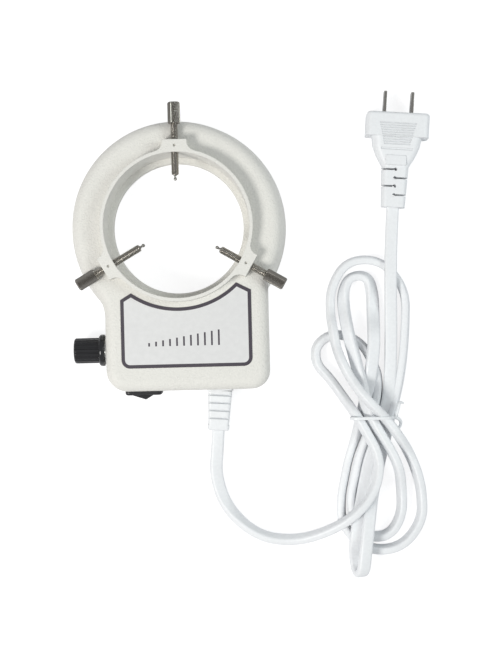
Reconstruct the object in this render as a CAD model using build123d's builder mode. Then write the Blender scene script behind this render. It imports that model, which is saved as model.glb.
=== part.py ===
from build123d import *
import math
import os

# Ring light for a stereo microscope, lying on its lamp side.
# Millimetres. Origin on the bore's axis, level with the underside; +Z up to the thumbscrews,
# +Y away from the control box, +X to the right, with the dimmer knob on the -X side.

# Overrun of every cut past the face that it opens, and the distance taken as touching
overrun = 1.0
tolerance = 0.01

# Ring: bore, collar and the three rows of lamps set its radii
bore_radius = 30.5
collar_inner_radius = bore_radius + 2.7
ledge_height = 4.0
ledge_chamfer = 0.5
ledge_slope_height = 0.9
ledge_wall = 1.4
collar_wall = 1.6
collar_outer_radius = collar_inner_radius + collar_wall
inner_wall = 1.7
pocket_inner = collar_inner_radius + inner_wall
lamp_rows = 3
lamps_per_row = 48
lamp_gap = 0.2
lamp_fill_share = 0.9
lamp_share = lamp_fill_share * math.pi / (lamps_per_row - lamp_fill_share * math.pi)
lamp_radius = lamp_share * (pocket_inner + lamp_gap)
lamp_row_inner = pocket_inner + lamp_gap + lamp_radius
lamp_row_pitch_share = 1.773
lamp_row_pitch = lamp_row_pitch_share * lamp_radius
lamp_row_outer = lamp_row_inner + (lamp_rows - 1) * lamp_row_pitch
pocket_outer = lamp_row_outer + lamp_radius + 2 * lamp_gap
board_thickness = 1.6
lamp_board_bottom = 6.5
lamp_board_top = lamp_board_bottom + board_thickness
wall_draft = 7.0
draft_share = math.tan(math.radians(wall_draft))
ring_wall = 1.8
ring_radius = pocket_outer + ring_wall + lamp_board_top * draft_share

# Heights of the body: the dimmer's pot fits between base plate and ceiling
base_plate_thickness = 1.2
pot_radius = 8.0
dimmer_z = base_plate_thickness + 1.8 + pot_radius
ceiling = dimmer_z + pot_radius + 0.3
body_wall = 2.2
body_height = ceiling + body_wall
body_edge_round = 5.0
collar_top = body_height + 6.5

# Control box
box_left = 34.3
box_right = 41.2
box_front = ring_radius + 25.1
box_left_corner = 10.0
box_right_corner = 8.5
neck_blend = 20.0
notch_blend = 3.0

# Lugs that carry the thumbscrews
lug_angles = (90, 210, 330)
lug_names = ("top", "left", "right")
lug_reach = collar_outer_radius + 4.1
lug_width = 11.2
lug_blend = 4.5
sight_hole_radius = 0.6
sight_hole_depth = 1.0
sight_hole_offset = 2.8

# Thumbscrews and their pressure pins; the left one is screwed in further
screw_height = collar_top - 3.4
screwed_in = (0, 3.4, 0)
thread_radius = 1.8
thread_depth = 0.25
thread_pitch = 0.7
shank_start = 22.9
head_start = 46.2
head_length = 10.0
head_radius = 2.9
head_chamfer = 0.5
knurl_count = 22
knurl_radius = 0.24
screw_clearance = 0.05
pin_tip = 20.3
pin_radius = 0.8
pin_neck_radius = 0.5
pin_neck_share = 0.35
knurl_lift_share = 0.25
pin_length = 10.0
pin_clearance = 0.05
pin_bore_extra = 0.5

# Lamp cover, lamp board and lamps
cover_lift = 0.4
cover_thickness = 1.2
cover_edge_gap = 0.1
cover_seat_depth = 0.3
lamp_board_gap = 0.2
lamp_row_names = ("inner", "middle", "outer")
lamp_length = 4.5
lamp_dome = 1.6
lamp_dome_share = 0.5

# Base plate and its screws; a place in the box is given by x and by its distance from the ring
base_plate_ledge = 1.0
base_plate_gap = 0.1
boss_radius = 2.8
boss_screw_radius = 1.0
boss_hole_clearance = 0.05
base_screw_head_radius = 2.0
base_screw_length = 7.0
boss_fronts = ((-28.7, 19.2), (35.2, 18.9))
boss_backs = ((-28.8, 1.6), (35.6, 2.5))

# Dimmer: potentiometer, shaft, washer, nut and knob, on an axis along X
dimmer_front = 5.8
pot_depth = 6.8
pot_bush_radius = 3.4
pot_bush_reach = 4.0
pot_hole_clearance = 0.1
shaft_radius = 3.0
shaft_clearance = 0.05
shaft_reach = 12.5
washer_radius = 6.4
washer_thickness = 0.5
nut_across_flats = 10.0
nut_thickness = 2.0
knob_gap = 0.3
knob_flange_radius = 7.35
knob_flange_width = 2.7
knob_barrel_radius = 5.9
knob_length = 14.3
knob_recess_radius = 6.0
knob_bush_gap = 0.3
knob_end_round = 1.2
knob_edge_round = 0.6
flute_count = 18
flute_radius = 0.45
flute_lift = 0.1

# Rocker switch in the front wall
switch_x = -17.5
switch_drop = 0.75
bezel_length = 17.0
bezel_width = 12.0
bezel_thickness = 1.9
bezel_corner = 2.0
bezel_round = 1.2
case_length = 15.0
case_width = 10.8
case_depth = 12.0
case_gap = 0.1
well_length = 13.4
well_width = 8.8
well_depth = 9.5
rocker_length = 12.4
rocker_width = 8.2
rocker_pivot_depth = 2.2
rocker_ridge = 6.2
rocker_ridge_shift = 0.5
rocker_shoulder = 3.4
rocker_belly = 2.2
rocker_belly_share = 0.25
rocker_rest_angle = 4.6
rocker_pin_radius = 1.0
rocker_pin_length = 0.9
rocker_pin_clearance = 0.05
tab_width = 4.8
tab_thickness = 0.8
tab_length = 6.5
tab_spacing = 7.0

# Strain relief
relief_x = 17.8
relief_z = 7.0
relief_lean = 4.1
relief_length = 19.4
relief_root_width = 11.2
relief_root_height = 9.0
relief_tip_width = 9.6
relief_tip_height = 6.8
relief_round = 1.4
relief_plate = 0.9
relief_collar = 2.0
relief_end_round = 1.1
relief_groove_width = 0.7
relief_groove_depth = 1.0
relief_groove_places = (2.6, 6.2, 9.8, 13.4)
relief_rim = 0.5
relief_neck_width = 8.0
relief_neck_height = 6.6
relief_neck_gap = 0.1
relief_flange = 1.5

# Driver board and its parts, hung from the housing's ceiling; places as for the bosses
driver_left = -7.5
driver_depth = 18.7
driver_gap = 2.1
driver_boss_length = 2.6
driver_boss_radius = 2.2
driver_screw_radius = 0.9
driver_screw_head_radius = 1.7
driver_screw_head = 1.2
driver_screw_length = 5.4
driver_hole_inset = 2.6
driver_hole_clearance = 0.1
chip_length = 9.4
chip_width = 6.2
chip_height = 3.3
chip_place = (0.5, 10.5)
core_length = 14.0
core_width = 6.0
core_clearance = 3.4
core_leg = 2.0
core_window = 2.9
core_gap = 0.1
winding_width = 9.6
core_chip_gap = 0.8
core_y = 11.3
core_place = (chip_place[0] + (chip_length + core_length) / 2 + core_chip_gap, core_y)
capacitor_radius = 5.0
capacitor_clearance = 2.6
capacitor_round_share = 0.16
capacitor_core_gap = 0.2
capacitor_edge_gap = 0.8
capacitor_y = 11.8
capacitor_x = core_place[0] + core_length / 2 + capacitor_core_gap + capacitor_radius
capacitor_place = (capacitor_x, capacitor_y)
driver_right = capacitor_x + capacitor_radius + capacitor_edge_gap
bridge_length = 6.2
bridge_width = 4.0
bridge_height = 2.5
bridge_shift = 7.5
bridge_y = 4.1
bridge_place = (core_place[0] + bridge_shift, bridge_y)
film_length = 9.0
film_width = 3.6
film_height = 7.5
film_y = 18.9
film_place = (core_place[0], film_y)
inductor_radius = 2.4
inductor_waist = 1.7
inductor_height = 5.5
inductor_place = (5.6, 4.7)
inductor_cut_share = 0.8
inductor_waist_share = 0.6
fuse_radius = 1.7
fuse_length = 8.0
fuse_place = (4.2, 18.7)
fuse_glass_share = 0.85
fuse_cap_share = 0.25

# Label plate on the deck
label_arc_radius = collar_outer_radius + 2.6
label_left = 26.8
label_right = 33.2
label_margin = 10.7
label_peak_left = -30.4
label_peak_right = -26.5
label_shoulder_left = -33.4
label_shoulder_right = -30.0
label_corner = 4.0
label_thickness = 0.25

# Inner wires, as routes through the box; distances from the ring, as for the bosses
wire_radius = 0.7
wire_bend = 2.0
wire_run_share = 0.45
lamp_wire_places = (-1.2, 1.2)
lamp_wire_start = 3.7
lamp_wire_end = 6.6
lamp_wire_drop = 1.7
pot_wire_starts = (0.5, 2.3, 4.1)
pot_wire_ends = (6.5, 8.1, 9.7)
pot_wire_lift = 2.3
pot_wire_turn = -19.0
pot_wire_rise = -6.6
mains_aisle = 19.7
live_start = 19.4
live_height = 3.4
live_turn = -8.4
live_back = 9.0
neutral_start = 15.9
neutral_height = 5.4
neutral_rise = -2.0
tab_wire_height = 9.0
switched_back = 10.4
switched_turn = -17.5
switched_height = 6.0
switched_end = (-6.6, 11.5)

# Cord, as a round tube that stands for the flat twin cord
cord_radius = 2.1
light_end_points = (
    (15.8, -103.3, 7),
    (14.4, -116.5, 3.8),
    (19.5, -132.5, 2.4),
    (34, -145.8, 2.4),
    (51.5, -148.2, 3),
    (66.5, -143.5, 8),
    (79, -136, 12),
    (88, -126, 10.4),
    (91.3, -114.8, 8.8),
)
plug_run_points = (
    (97.8, -71.5, 3.2),
    (98.5, -52, 5),
    (98.5, -30, 7.8),
    (99.3, -8.5, 6.5),
)

# Hank: loops thrown to and fro through a tied waist; across and along from the waist's
# middle, height above the table, heading in degrees
hank_x = 89.7
hank_y = -90.8
hank_end = 4.2
hank_lead = 8.0
strand_apart = 8
parallel_share = 0.000001
hank_turns = (
    (-5.5, -4.6, 8.5, 118),
    (-18.3, 15.6, 2.4, 124),
    (-26.8, 29.5, 2.4, 93),
    (-16.7, 39, 2.4, 0),
    (-2.4, 30.2, 2.4, -62),
    (2.3, 17.3, 2.4, -88),
    (-1.9, -3.6, 3.7, -108),
    (-8.7, -24.2, 2.4, -103),
    (-11.5, -40.2, 2.4, -90),
    (0.1, -56.2, 2.4, 0),
    (12.1, -40.2, 2.4, 90),
    (8.5, -18.7, 7.6, 114),
    (0.3, -4.4, 8.5, 121),
    (-5.3, 12.3, 7.8, 101),
    (-10.1, 33.8, 7.2, 104),
    (-12.1, 42.8, 7.1, 98),
    (-13.1, 55.8, 2.4, 90),
    (-5.9, 66.6, 2.4, 0),
    (0.7, 52.8, 2.4, -90),
    (0.3, 34.8, 7.2, -92),
    (-1.1, 22.8, 7.2, -96),
    (-3.1, 10.8, 2.6, -101),
    (-7, -3.4, 3.7, -107),
    (-13.6, -24.2, 2.4, -103),
    (-16.5, -42.2, 2.4, -90),
    (2.7, -62.4, 2.4, 0),
    (21.6, -41.2, 2.4, 90),
    (17.6, -21.2, 3.4, 112),
    (7.1, -3.6, 9.7, 126),
    (-3.5, 8.2, 12.8, 131),
    (-13.3, 22.8, 10, 116),
    (-18.1, 37.8, 7.2, 98),
    (-19.3, 53.8, 2.4, 88),
    (-3.7, 74, 2.4, 0),
    (16.1, 50.8, 2.4, -92),
    (13.2, 17.8, 2.4, -97),
    (8.5, -3.4, 3.7, -107),
    (1.2, -24.2, 2.4, -104),
    (-2.2, -42.2, 2.4, -94),
    (-3.7, -56.2, 7.2, -94),
    (-5.3, -68.2, 7, -92),
    (-9.5, -72.8, 5.6, 180),
    (-13.7, -68.2, 7.2, 88),
    (-11.4, -55.2, 7.4, 76),
    (-9.3, -47.2, 7.2, 76),
    (-6.5, -39.2, 4.4, 78),
    (-3.8, -24.2, 2.4, 76),
    (3.15, -3.6, 3.7, 73),
)

# Tie round the waist, its outline given from the waist's middle: across and height
tie_radius = 0.6
tie_outline = (
    (-7.6, 0.7),
    (12.9, 0.7),
    (12.9, 4.9),
    (6.3, 13.8),
    (-10.8, 11.2),
    (-11.6, 7.4),
)
tie_bend = 1.6
tie_tails = (
    ((11.4, 0.0, 6.8), (13.2, 2.4, 7.6), (12.6, 8.4, 8.0)),
    ((11.4, 0.0, 6.8), (13.6, -1.8, 6.2), (13.4, -5.6, 5.4)),
)

# Plug
plug_x = 100.5
plug_y = 7.2
plug_lean = 4.5
plug_length = 44.0
plug_head_width = 29.3
plug_head_thickness = 13.0
plug_head_length = 11.3
plug_head_round = 2.6
plug_end_round = 1.5
# Along the plug: distance from the cord's entry, width, thickness and corner
plug_sections = (
    (0, 11.0, 7.2, 2.4),
    (18.9, 12.6, 8.6, 3.0),
    (21.2, 15.3, 9.2, 3.2),
    (23.5, 18.0, 9.8, 3.4),
    (28.2, 21.9, 11.2, 3.8),
    (plug_length - plug_head_length, 23.2, 12.4, 4.0),
)
plug_slot_width = 0.8
plug_slot_hole = 0.75
plug_slot_places = (5.2, 9.3, 13.1, 17.1)
plug_rib_count = 10
plug_rib_pitch = 1.07
plug_rib_width = 0.45
plug_rib_depth = 0.3
plug_rib_first = 38.6
plug_rib_span = 17.0
plug_rib_narrowing = 0.55
plug_groove_place = 26.6
plug_groove_span = 14.5
plug_groove_width = 0.8
plug_pad_start = 19.5
plug_pad_length = 4.5
plug_pad_width = 9.5
plug_pad_lift = 0.2
blade_spacing = 12.7
blade_thickness = 1.3
blade_width = 6.3
blade_reach = 10.1
blade_root = 7.0
blade_chamfer = 0.6

os.makedirs("parts", exist_ok=True)


def write(solid, name):
    solid.label = name
    export_step(solid, "parts/" + name + ".step")


# Heights and radii that several pieces share
cover_top = cover_lift + cover_thickness
cover_seat_radius = pocket_outer + cover_seat_depth
round_inset = body_edge_round - math.sqrt(body_edge_round**2 - (body_edge_round - body_wall) ** 2)
channel_outer = ring_radius - ceiling * draft_share - round_inset - body_wall
dimmer_y = -ring_radius - dimmer_front
switch_z = body_height / 2 - switch_drop
driver_board_top = ceiling - driver_boss_length
driver_board_bottom = driver_board_top - board_thickness
capacitor_height = driver_board_bottom - base_plate_thickness - capacitor_clearance
core_height = driver_board_bottom - base_plate_thickness - core_clearance
driver_back = -ring_radius - driver_gap
driver_front = driver_back - driver_depth
box_join = box_left * math.tan(math.radians(30))
relief_tip = (
    relief_x - relief_length * math.sin(math.radians(relief_lean)),
    -box_front - relief_length * math.cos(math.radians(relief_lean)),
)


# A place in the control box, from its x and its distance in front of the ring
def in_box(place):
    return (place[0], -ring_radius - place[1])


boss_places = [in_box(place) for place in boss_fronts]
boss_places += [(x, -math.sqrt((ring_radius + gap) ** 2 - x**2)) for x, gap in boss_backs]


# Cast housing: ring, control box, collar and lugs in one piece
def body_outline(radius, height):
    with BuildSketch(Plane.XY.offset(height)) as outline:
        Circle(radius)
        with BuildLine():
            Polyline(
                (-box_left, -box_join),
                (-box_left, -box_front),
                (box_right, -box_front),
                (box_right, -box_join),
                close=True,
            )
        make_face()
        front_corners = outline.vertices().group_by(Axis.Y)[0].sort_by(Axis.X)
        fillet(front_corners[0], box_left_corner)
        front_corners = outline.vertices().filter_by(
            lambda v: v.X > 0 and abs(v.Y + box_front) < tolerance
        )
        fillet(front_corners.sort_by(Axis.X)[-1], box_right_corner)
        joins = outline.vertices().filter_by(
            lambda v: abs(math.hypot(v.X, v.Y) - radius) < tolerance
        )
        fillet(joins.sort_by(Axis.X)[0], neck_blend)
        joins = outline.vertices().filter_by(
            lambda v: v.X > 0 and abs(math.hypot(v.X, v.Y) - radius) < tolerance
        )
        fillet(joins.sort_by(Axis.Y)[0], notch_blend)
    return outline.sketch


foot_outline = body_outline(ring_radius, 0)
deck_outline = body_outline(ring_radius - body_height * draft_share, body_height)

with BuildSketch() as box_cavity_outline:
    with BuildLine():
        Polyline(
            (-box_left + body_wall, -box_join),
            (-box_left + body_wall, -box_front + body_wall),
            (box_right - body_wall, -box_front + body_wall),
            (box_right - body_wall, -box_join),
            close=True,
        )
    make_face()
    cavity_front = box_cavity_outline.vertices().group_by(Axis.Y)[0].sort_by(Axis.X)
    fillet(cavity_front[0], box_left_corner - body_wall)
    cavity_front = box_cavity_outline.vertices().group_by(Axis.Y)[0].sort_by(Axis.X)
    fillet(cavity_front[-1], box_right_corner - body_wall)
    Circle(ring_radius, mode=Mode.SUBTRACT)

with BuildPart() as ring_housing:
    add(foot_outline)
    add(deck_outline)
    loft(ruled=True)
    fillet(ring_housing.edges().group_by(Axis.Z)[-1], body_edge_round)
    with BuildSketch(Plane.XY.offset(ceiling)) as collar_sketch:
        Circle(collar_outer_radius)
        for angle in lug_angles:
            with Locations(Rotation(0, 0, angle)):
                with Locations((lug_reach / 2, 0)):
                    Rectangle(lug_reach, lug_width)
        inner_corners = collar_sketch.vertices().filter_by(
            lambda v: math.hypot(v.X, v.Y) < collar_outer_radius + tolerance
        )
        fillet(inner_corners, lug_blend)
    extrude(amount=collar_top - ceiling)
    # The bore with its sloping ledge, and the lamp channel below the ring
    with BuildSketch(Plane.XZ):
        with BuildLine():
            Polyline(
                (0, -overrun),
                (bore_radius, -overrun),
                (bore_radius, ledge_height),
                (bore_radius + ledge_chamfer, ledge_height + ledge_chamfer),
                (collar_inner_radius, ledge_height + ledge_slope_height),
                (collar_inner_radius, collar_top + overrun),
                (0, collar_top + overrun),
                close=True,
            )
        make_face()
    revolve(axis=Axis.Z, mode=Mode.SUBTRACT)
    with BuildSketch(Plane.XY.offset(-overrun)):
        Circle(cover_seat_radius)
        Circle(bore_radius + ledge_wall, mode=Mode.SUBTRACT)
    extrude(amount=overrun + cover_top, mode=Mode.SUBTRACT)
    with BuildSketch(Plane.XY.offset(cover_top)):
        Circle(pocket_outer)
        Circle(pocket_inner, mode=Mode.SUBTRACT)
    extrude(amount=lamp_board_top - cover_top, mode=Mode.SUBTRACT)
    with BuildSketch(Plane.XY.offset(lamp_board_top)):
        Circle(channel_outer)
        Circle(pocket_inner, mode=Mode.SUBTRACT)
    extrude(amount=ceiling - lamp_board_top, mode=Mode.SUBTRACT)
    # The control box's hollow and the base plate's rebate
    with BuildSketch(Plane.XY.offset(-overrun)):
        add(box_cavity_outline.sketch)
    extrude(amount=ceiling + overrun, mode=Mode.SUBTRACT)
    with BuildSketch(Plane.XY.offset(-overrun)):
        add(box_cavity_outline.sketch)
        offset(amount=base_plate_ledge)
    extrude(amount=overrun + base_plate_thickness, mode=Mode.SUBTRACT)
    # Bosses for the base plate and for the driver board
    with BuildSketch(Plane.XY.offset(base_plate_thickness)):
        with Locations(*boss_places):
            Circle(boss_radius)
    extrude(amount=ceiling - base_plate_thickness)
    with BuildSketch(Plane.XY.offset(driver_board_top)):
        with Locations(((driver_left + driver_right) / 2, (driver_front + driver_back) / 2)):
            with GridLocations(
                driver_right - driver_left - 2 * driver_hole_inset,
                driver_back - driver_front - 2 * driver_hole_inset,
                2,
                2,
            ):
                Circle(driver_boss_radius)
    extrude(amount=driver_boss_length)
    with BuildSketch(Plane.XY.offset(base_plate_thickness)):
        with Locations(*boss_places):
            Circle(boss_screw_radius + boss_hole_clearance)
    extrude(amount=base_screw_length, mode=Mode.SUBTRACT)
    with BuildSketch(Plane.XY.offset(driver_board_top)):
        with Locations(((driver_left + driver_right) / 2, (driver_front + driver_back) / 2)):
            with GridLocations(
                driver_right - driver_left - 2 * driver_hole_inset,
                driver_back - driver_front - 2 * driver_hole_inset,
                2,
                2,
            ):
                Circle(driver_screw_radius + boss_hole_clearance)
    extrude(amount=driver_screw_length - board_thickness, mode=Mode.SUBTRACT)
    # Wire notch between the box and the lamp channel
    with Locations((0, -(ring_radius + channel_outer) / 2, ceiling - 2 * body_wall)):
        Box(
            3 * body_wall,
            ring_radius - channel_outer + 2 * overrun,
            2 * body_wall,
            mode=Mode.SUBTRACT,
        )
    # Thumbscrew holes and sight holes in the lugs
    for angle in lug_angles:
        screw_plane = Plane.XY.rotated((0, 0, angle)).location
        with Locations(screw_plane):
            with Locations(
                Location((collar_inner_radius - overrun, 0, screw_height), (0, 90, 0))
            ):
                Cylinder(
                    thread_radius + screw_clearance,
                    lug_reach - collar_inner_radius + 2 * overrun,
                    align=(Align.CENTER, Align.CENTER, Align.MIN),
                    mode=Mode.SUBTRACT,
                )
            with Locations((lug_reach - sight_hole_offset, 0, collar_top)):
                Cylinder(
                    sight_hole_radius,
                    2 * sight_hole_depth,
                    mode=Mode.SUBTRACT,
                )
    # Openings for the dimmer's bush, the switch and the strain relief
    with Locations(Location((-box_left, dimmer_y, dimmer_z), (0, 90, 0))):
        Cylinder(pot_bush_radius + pot_hole_clearance, 3 * body_wall, mode=Mode.SUBTRACT)
    with Locations((switch_x, -box_front + body_wall / 2, switch_z)):
        Box(
            case_length + 2 * case_gap,
            body_wall + 2 * overrun,
            case_width + 2 * case_gap,
            mode=Mode.SUBTRACT,
        )
    with Locations((relief_x, -box_front + body_wall / 2, relief_z)):
        Box(
            relief_neck_width + 2 * relief_neck_gap,
            body_wall + 2 * overrun,
            relief_neck_height + 2 * relief_neck_gap,
            mode=Mode.SUBTRACT,
        )
write(ring_housing.part, "ring_housing")


# Lamp cover: a clear flat ring, let in between the bore's wall and the channel's
with BuildPart() as lens_cover:
    with BuildSketch(Plane.XY.offset(cover_lift)):
        Circle(cover_seat_radius - cover_edge_gap)
        Circle(bore_radius + ledge_wall + cover_edge_gap, mode=Mode.SUBTRACT)
    extrude(amount=cover_thickness)
write(lens_cover.part, "lens_cover")

# Lamp board, seated on the ledge of the channel's outer wall
with BuildPart() as led_board:
    with BuildSketch(Plane.XY.offset(lamp_board_bottom)):
        Circle(pocket_outer - lamp_board_gap)
        Circle(pocket_inner + lamp_board_gap, mode=Mode.SUBTRACT)
    extrude(amount=board_thickness)
write(led_board.part, "led_board")

# Three rows of lamps, each row turned by half a pitch from the one beside it
for row in range(lamp_rows):
    row_radius = lamp_row_inner + row * lamp_row_pitch
    half_pitch = 180 / lamps_per_row * (row % 2)
    with BuildPart() as lamps:
        with BuildSketch(Plane.XY.offset(lamp_board_bottom - lamp_length + lamp_dome)):
            with PolarLocations(row_radius, lamps_per_row, start_angle=half_pitch):
                Circle(lamp_radius)
        extrude(amount=lamp_length - lamp_dome)
        chamfer(lamps.faces().sort_by(Axis.Z)[:lamps_per_row].edges(), lamp_radius / 4)
        with BuildSketch(Plane.XY.offset(lamp_board_bottom - lamp_length)):
            with PolarLocations(row_radius, lamps_per_row, start_angle=half_pitch):
                Circle(lamp_radius * lamp_dome_share)
        extrude(amount=lamp_dome)
    write(lamps.part, "leds_" + lamp_row_names[row])

# Base plate under the control box, with countersunk holes
with BuildPart() as base_plate:
    with BuildSketch() as plate_sketch:
        add(box_cavity_outline.sketch)
        offset(amount=base_plate_ledge - base_plate_gap)
    extrude(amount=base_plate_thickness)
    with Locations(*[Location((x, y, 0), (180, 0, 0)) for x, y in boss_places]):
        CounterSinkHole(
            boss_screw_radius + boss_hole_clearance,
            base_screw_head_radius + boss_hole_clearance,
            depth=2 * base_plate_thickness,
            counter_sink_angle=90,
        )
write(base_plate.part, "base_plate")

with BuildPart() as base_plate_screws:
    for x, y in boss_places:
        with BuildSketch(Plane.XZ.offset(-y)):
            with BuildLine():
                Polyline(
                    (x, 0),
                    (x + base_screw_head_radius, 0),
                    (x + boss_screw_radius, base_screw_head_radius - boss_screw_radius),
                    (x + boss_screw_radius, base_screw_length),
                    (x, base_screw_length),
                    close=True,
                )
            make_face()
        revolve(axis=Axis((x, y, 0), (0, 0, 1)))
write(base_plate_screws.part, "base_plate_screws")

# Label plate on the deck: its upper edge is an arc round the ring's axis
with BuildPart() as label_plate:
    with BuildSketch(Plane.XY.offset(body_height)) as label_sketch:
        with BuildLine():
            arc_left = (
                -math.sqrt(label_arc_radius**2 - label_peak_left**2),
                label_peak_left,
            )
            arc_right = (
                math.sqrt(label_arc_radius**2 - label_peak_right**2),
                label_peak_right,
            )
            ThreePointArc(arc_left, (0, -label_arc_radius), arc_right)
            Polyline(
                arc_right,
                (label_right, label_shoulder_right),
                (label_right, label_margin - box_front),
                (-label_left, label_margin - box_front),
                (-label_left, label_shoulder_left),
                arc_left,
            )
        make_face()
        fillet(label_sketch.vertices().group_by(Axis.Y)[0], label_corner)
    extrude(amount=label_thickness)
write(label_plate.part, "label_plate")


# Thumbscrews: knurled head, threaded shank, blind bore with a pressure pin
def thread_profile(shank, head):
    points = []
    place = shank + 2 * thread_depth
    while place < head - 2 * thread_pitch:
        points.append((place, thread_radius))
        points.append((place + thread_pitch / 2, thread_radius - thread_depth))
        place += thread_pitch
    return points


for angle, name, turned_in in zip(lug_angles, lug_names, screwed_in):
    shank = shank_start - turned_in
    head = head_start - turned_in
    tip = pin_tip - turned_in
    along = Location((0, 0, screw_height), (0, 0, angle)) * Location((0, 0, 0), (90, 0, 0))
    radial = Plane(along)
    pin_bore = pin_radius + pin_clearance
    pin_back = shank + pin_length + pin_bore_extra
    with BuildPart() as thumbscrew:
        with BuildSketch(radial):
            with BuildLine():
                Polyline(
                    (shank, pin_bore),
                    (shank, thread_radius - 2 * thread_depth),
                    *thread_profile(shank, head),
                    (head - thread_pitch, thread_radius - thread_depth),
                    (head, thread_radius - thread_depth),
                    (head, head_radius - head_chamfer),
                    (head + head_chamfer, head_radius),
                    (head + head_length - head_chamfer, head_radius),
                    (head + head_length, head_radius - head_chamfer),
                    (head + head_length, 0),
                    (pin_back, 0),
                    (pin_back, pin_bore),
                    close=True,
                )
            make_face()
        revolve(axis=Axis(radial.origin, radial.x_dir))
        knurl_plane = Plane(
            origin=radial.origin + radial.x_dir * head,
            x_dir=(0, 0, 1),
            z_dir=radial.x_dir,
        )
        with BuildSketch(knurl_plane):
            with PolarLocations(head_radius + knurl_radius * knurl_lift_share, knurl_count):
                Circle(knurl_radius)
        extrude(amount=head_length, mode=Mode.SUBTRACT)
    write(thumbscrew.part, "thumbscrew_" + name)

    ball = pin_radius
    neck = (shank - tip) * pin_neck_share
    with BuildPart() as tip_pin:
        with BuildSketch(radial):
            with BuildLine():
                Polyline(
                    (tip + 2 * ball, 0),
                    (tip + ball + math.sqrt(ball**2 - pin_neck_radius**2), 0),
                    (tip + ball + math.sqrt(ball**2 - pin_neck_radius**2), pin_neck_radius),
                    (shank - neck / 2, pin_neck_radius),
                    (shank - neck / 4, pin_radius),
                    (shank + pin_length, pin_radius),
                    (shank + pin_length, 0),
                    close=True,
                )
            make_face()
            with BuildLine():
                ThreePointArc(
                    (tip, 0),
                    (tip + ball, ball),
                    (tip + 2 * ball, 0),
                )
                Line((tip + 2 * ball, 0), (tip, 0))
            make_face()
        revolve(axis=Axis(radial.origin, radial.x_dir))
    write(tip_pin.part, "tip_pin_" + name)

# Dimmer: the pot's body with its bush through the wall, shaft, washer, nut and knob
wall_face = -box_left
pot_face = wall_face + body_wall
washer_out = wall_face - washer_thickness
nut_out = washer_out - nut_thickness
bush_end = wall_face - pot_bush_reach
knob_in = washer_out - knob_gap
knob_end = knob_in - knob_length
dimmer_in = Plane(origin=(pot_face, dimmer_y, dimmer_z), x_dir=(0, 1, 0), z_dir=(1, 0, 0))

with BuildPart() as pot_body:
    with BuildSketch(dimmer_in):
        Circle(pot_radius)
    extrude(amount=pot_depth)
    chamfer(pot_body.edges().group_by(Axis.X)[-1], knob_edge_round)
    with BuildSketch(dimmer_in):
        Circle(pot_bush_radius)
    extrude(amount=bush_end - pot_face)
    with BuildSketch(dimmer_in.offset(pot_depth / 2)):
        Circle(shaft_radius + shaft_clearance)
    extrude(amount=bush_end - pot_face - pot_depth, mode=Mode.SUBTRACT)
write(pot_body.part, "pot_body")

with BuildPart() as pot_shaft:
    with BuildSketch(dimmer_in.offset(pot_depth / 2 - knob_gap)):
        Circle(shaft_radius)
    extrude(amount=wall_face - shaft_reach - pot_face - pot_depth / 2 + knob_gap)
    chamfer(pot_shaft.edges().group_by(Axis.X)[0], knob_edge_round / 2)
write(pot_shaft.part, "pot_shaft")

with BuildPart() as pot_washer:
    with BuildSketch(dimmer_in.offset(washer_out - pot_face)):
        Circle(washer_radius)
        Circle(pot_bush_radius + pot_hole_clearance, mode=Mode.SUBTRACT)
    extrude(amount=washer_thickness)
write(pot_washer.part, "pot_washer")

with BuildPart() as pot_nut:
    with BuildSketch(dimmer_in.offset(nut_out - pot_face)):
        RegularPolygon(nut_across_flats / 2, 6, major_radius=False)
        Circle(pot_bush_radius + shaft_clearance, mode=Mode.SUBTRACT)
    extrude(amount=nut_thickness)
write(pot_nut.part, "pot_nut")

with BuildPart() as dimmer_knob:
    with BuildSketch(dimmer_in.offset(knob_in - pot_face)):
        Circle(knob_flange_radius)
    extrude(amount=-knob_flange_width)
    fillet(dimmer_knob.edges().group_by(Axis.X)[0], knob_end_round)
    fillet(dimmer_knob.edges().group_by(Axis.X)[-1], knob_edge_round)
    with BuildSketch(dimmer_in.offset(knob_in - knob_flange_width / 2 - pot_face)):
        Circle(knob_barrel_radius)
    extrude(amount=-knob_length + knob_flange_width / 2)
    fillet(dimmer_knob.edges().group_by(Axis.X)[0], knob_end_round)
    with BuildSketch(dimmer_in.offset(knob_end - overrun - pot_face)):
        with PolarLocations(knob_barrel_radius + flute_lift, flute_count):
            Circle(flute_radius)
    extrude(amount=knob_length - knob_flange_width + overrun, mode=Mode.SUBTRACT)
    with BuildSketch(dimmer_in.offset(knob_in - pot_face)):
        Circle(knob_recess_radius)
    extrude(amount=nut_out - knob_in - knob_bush_gap, mode=Mode.SUBTRACT)
    with BuildSketch(dimmer_in.offset(knob_in - pot_face)):
        Circle(pot_bush_radius + knob_bush_gap)
    extrude(amount=bush_end - knob_in - knob_bush_gap, mode=Mode.SUBTRACT)
    with BuildSketch(dimmer_in.offset(knob_in - pot_face)):
        Circle(shaft_radius)
    extrude(amount=wall_face - shaft_reach - knob_in, mode=Mode.SUBTRACT)
write(dimmer_knob.part, "dimmer_knob")

# Rocker switch: bezel and case, rocker, and terminals
front_face = -box_front
switch_out = Plane(
    origin=(switch_x, front_face, switch_z), x_dir=(1, 0, 0), z_dir=(0, -1, 0)
)

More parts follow.
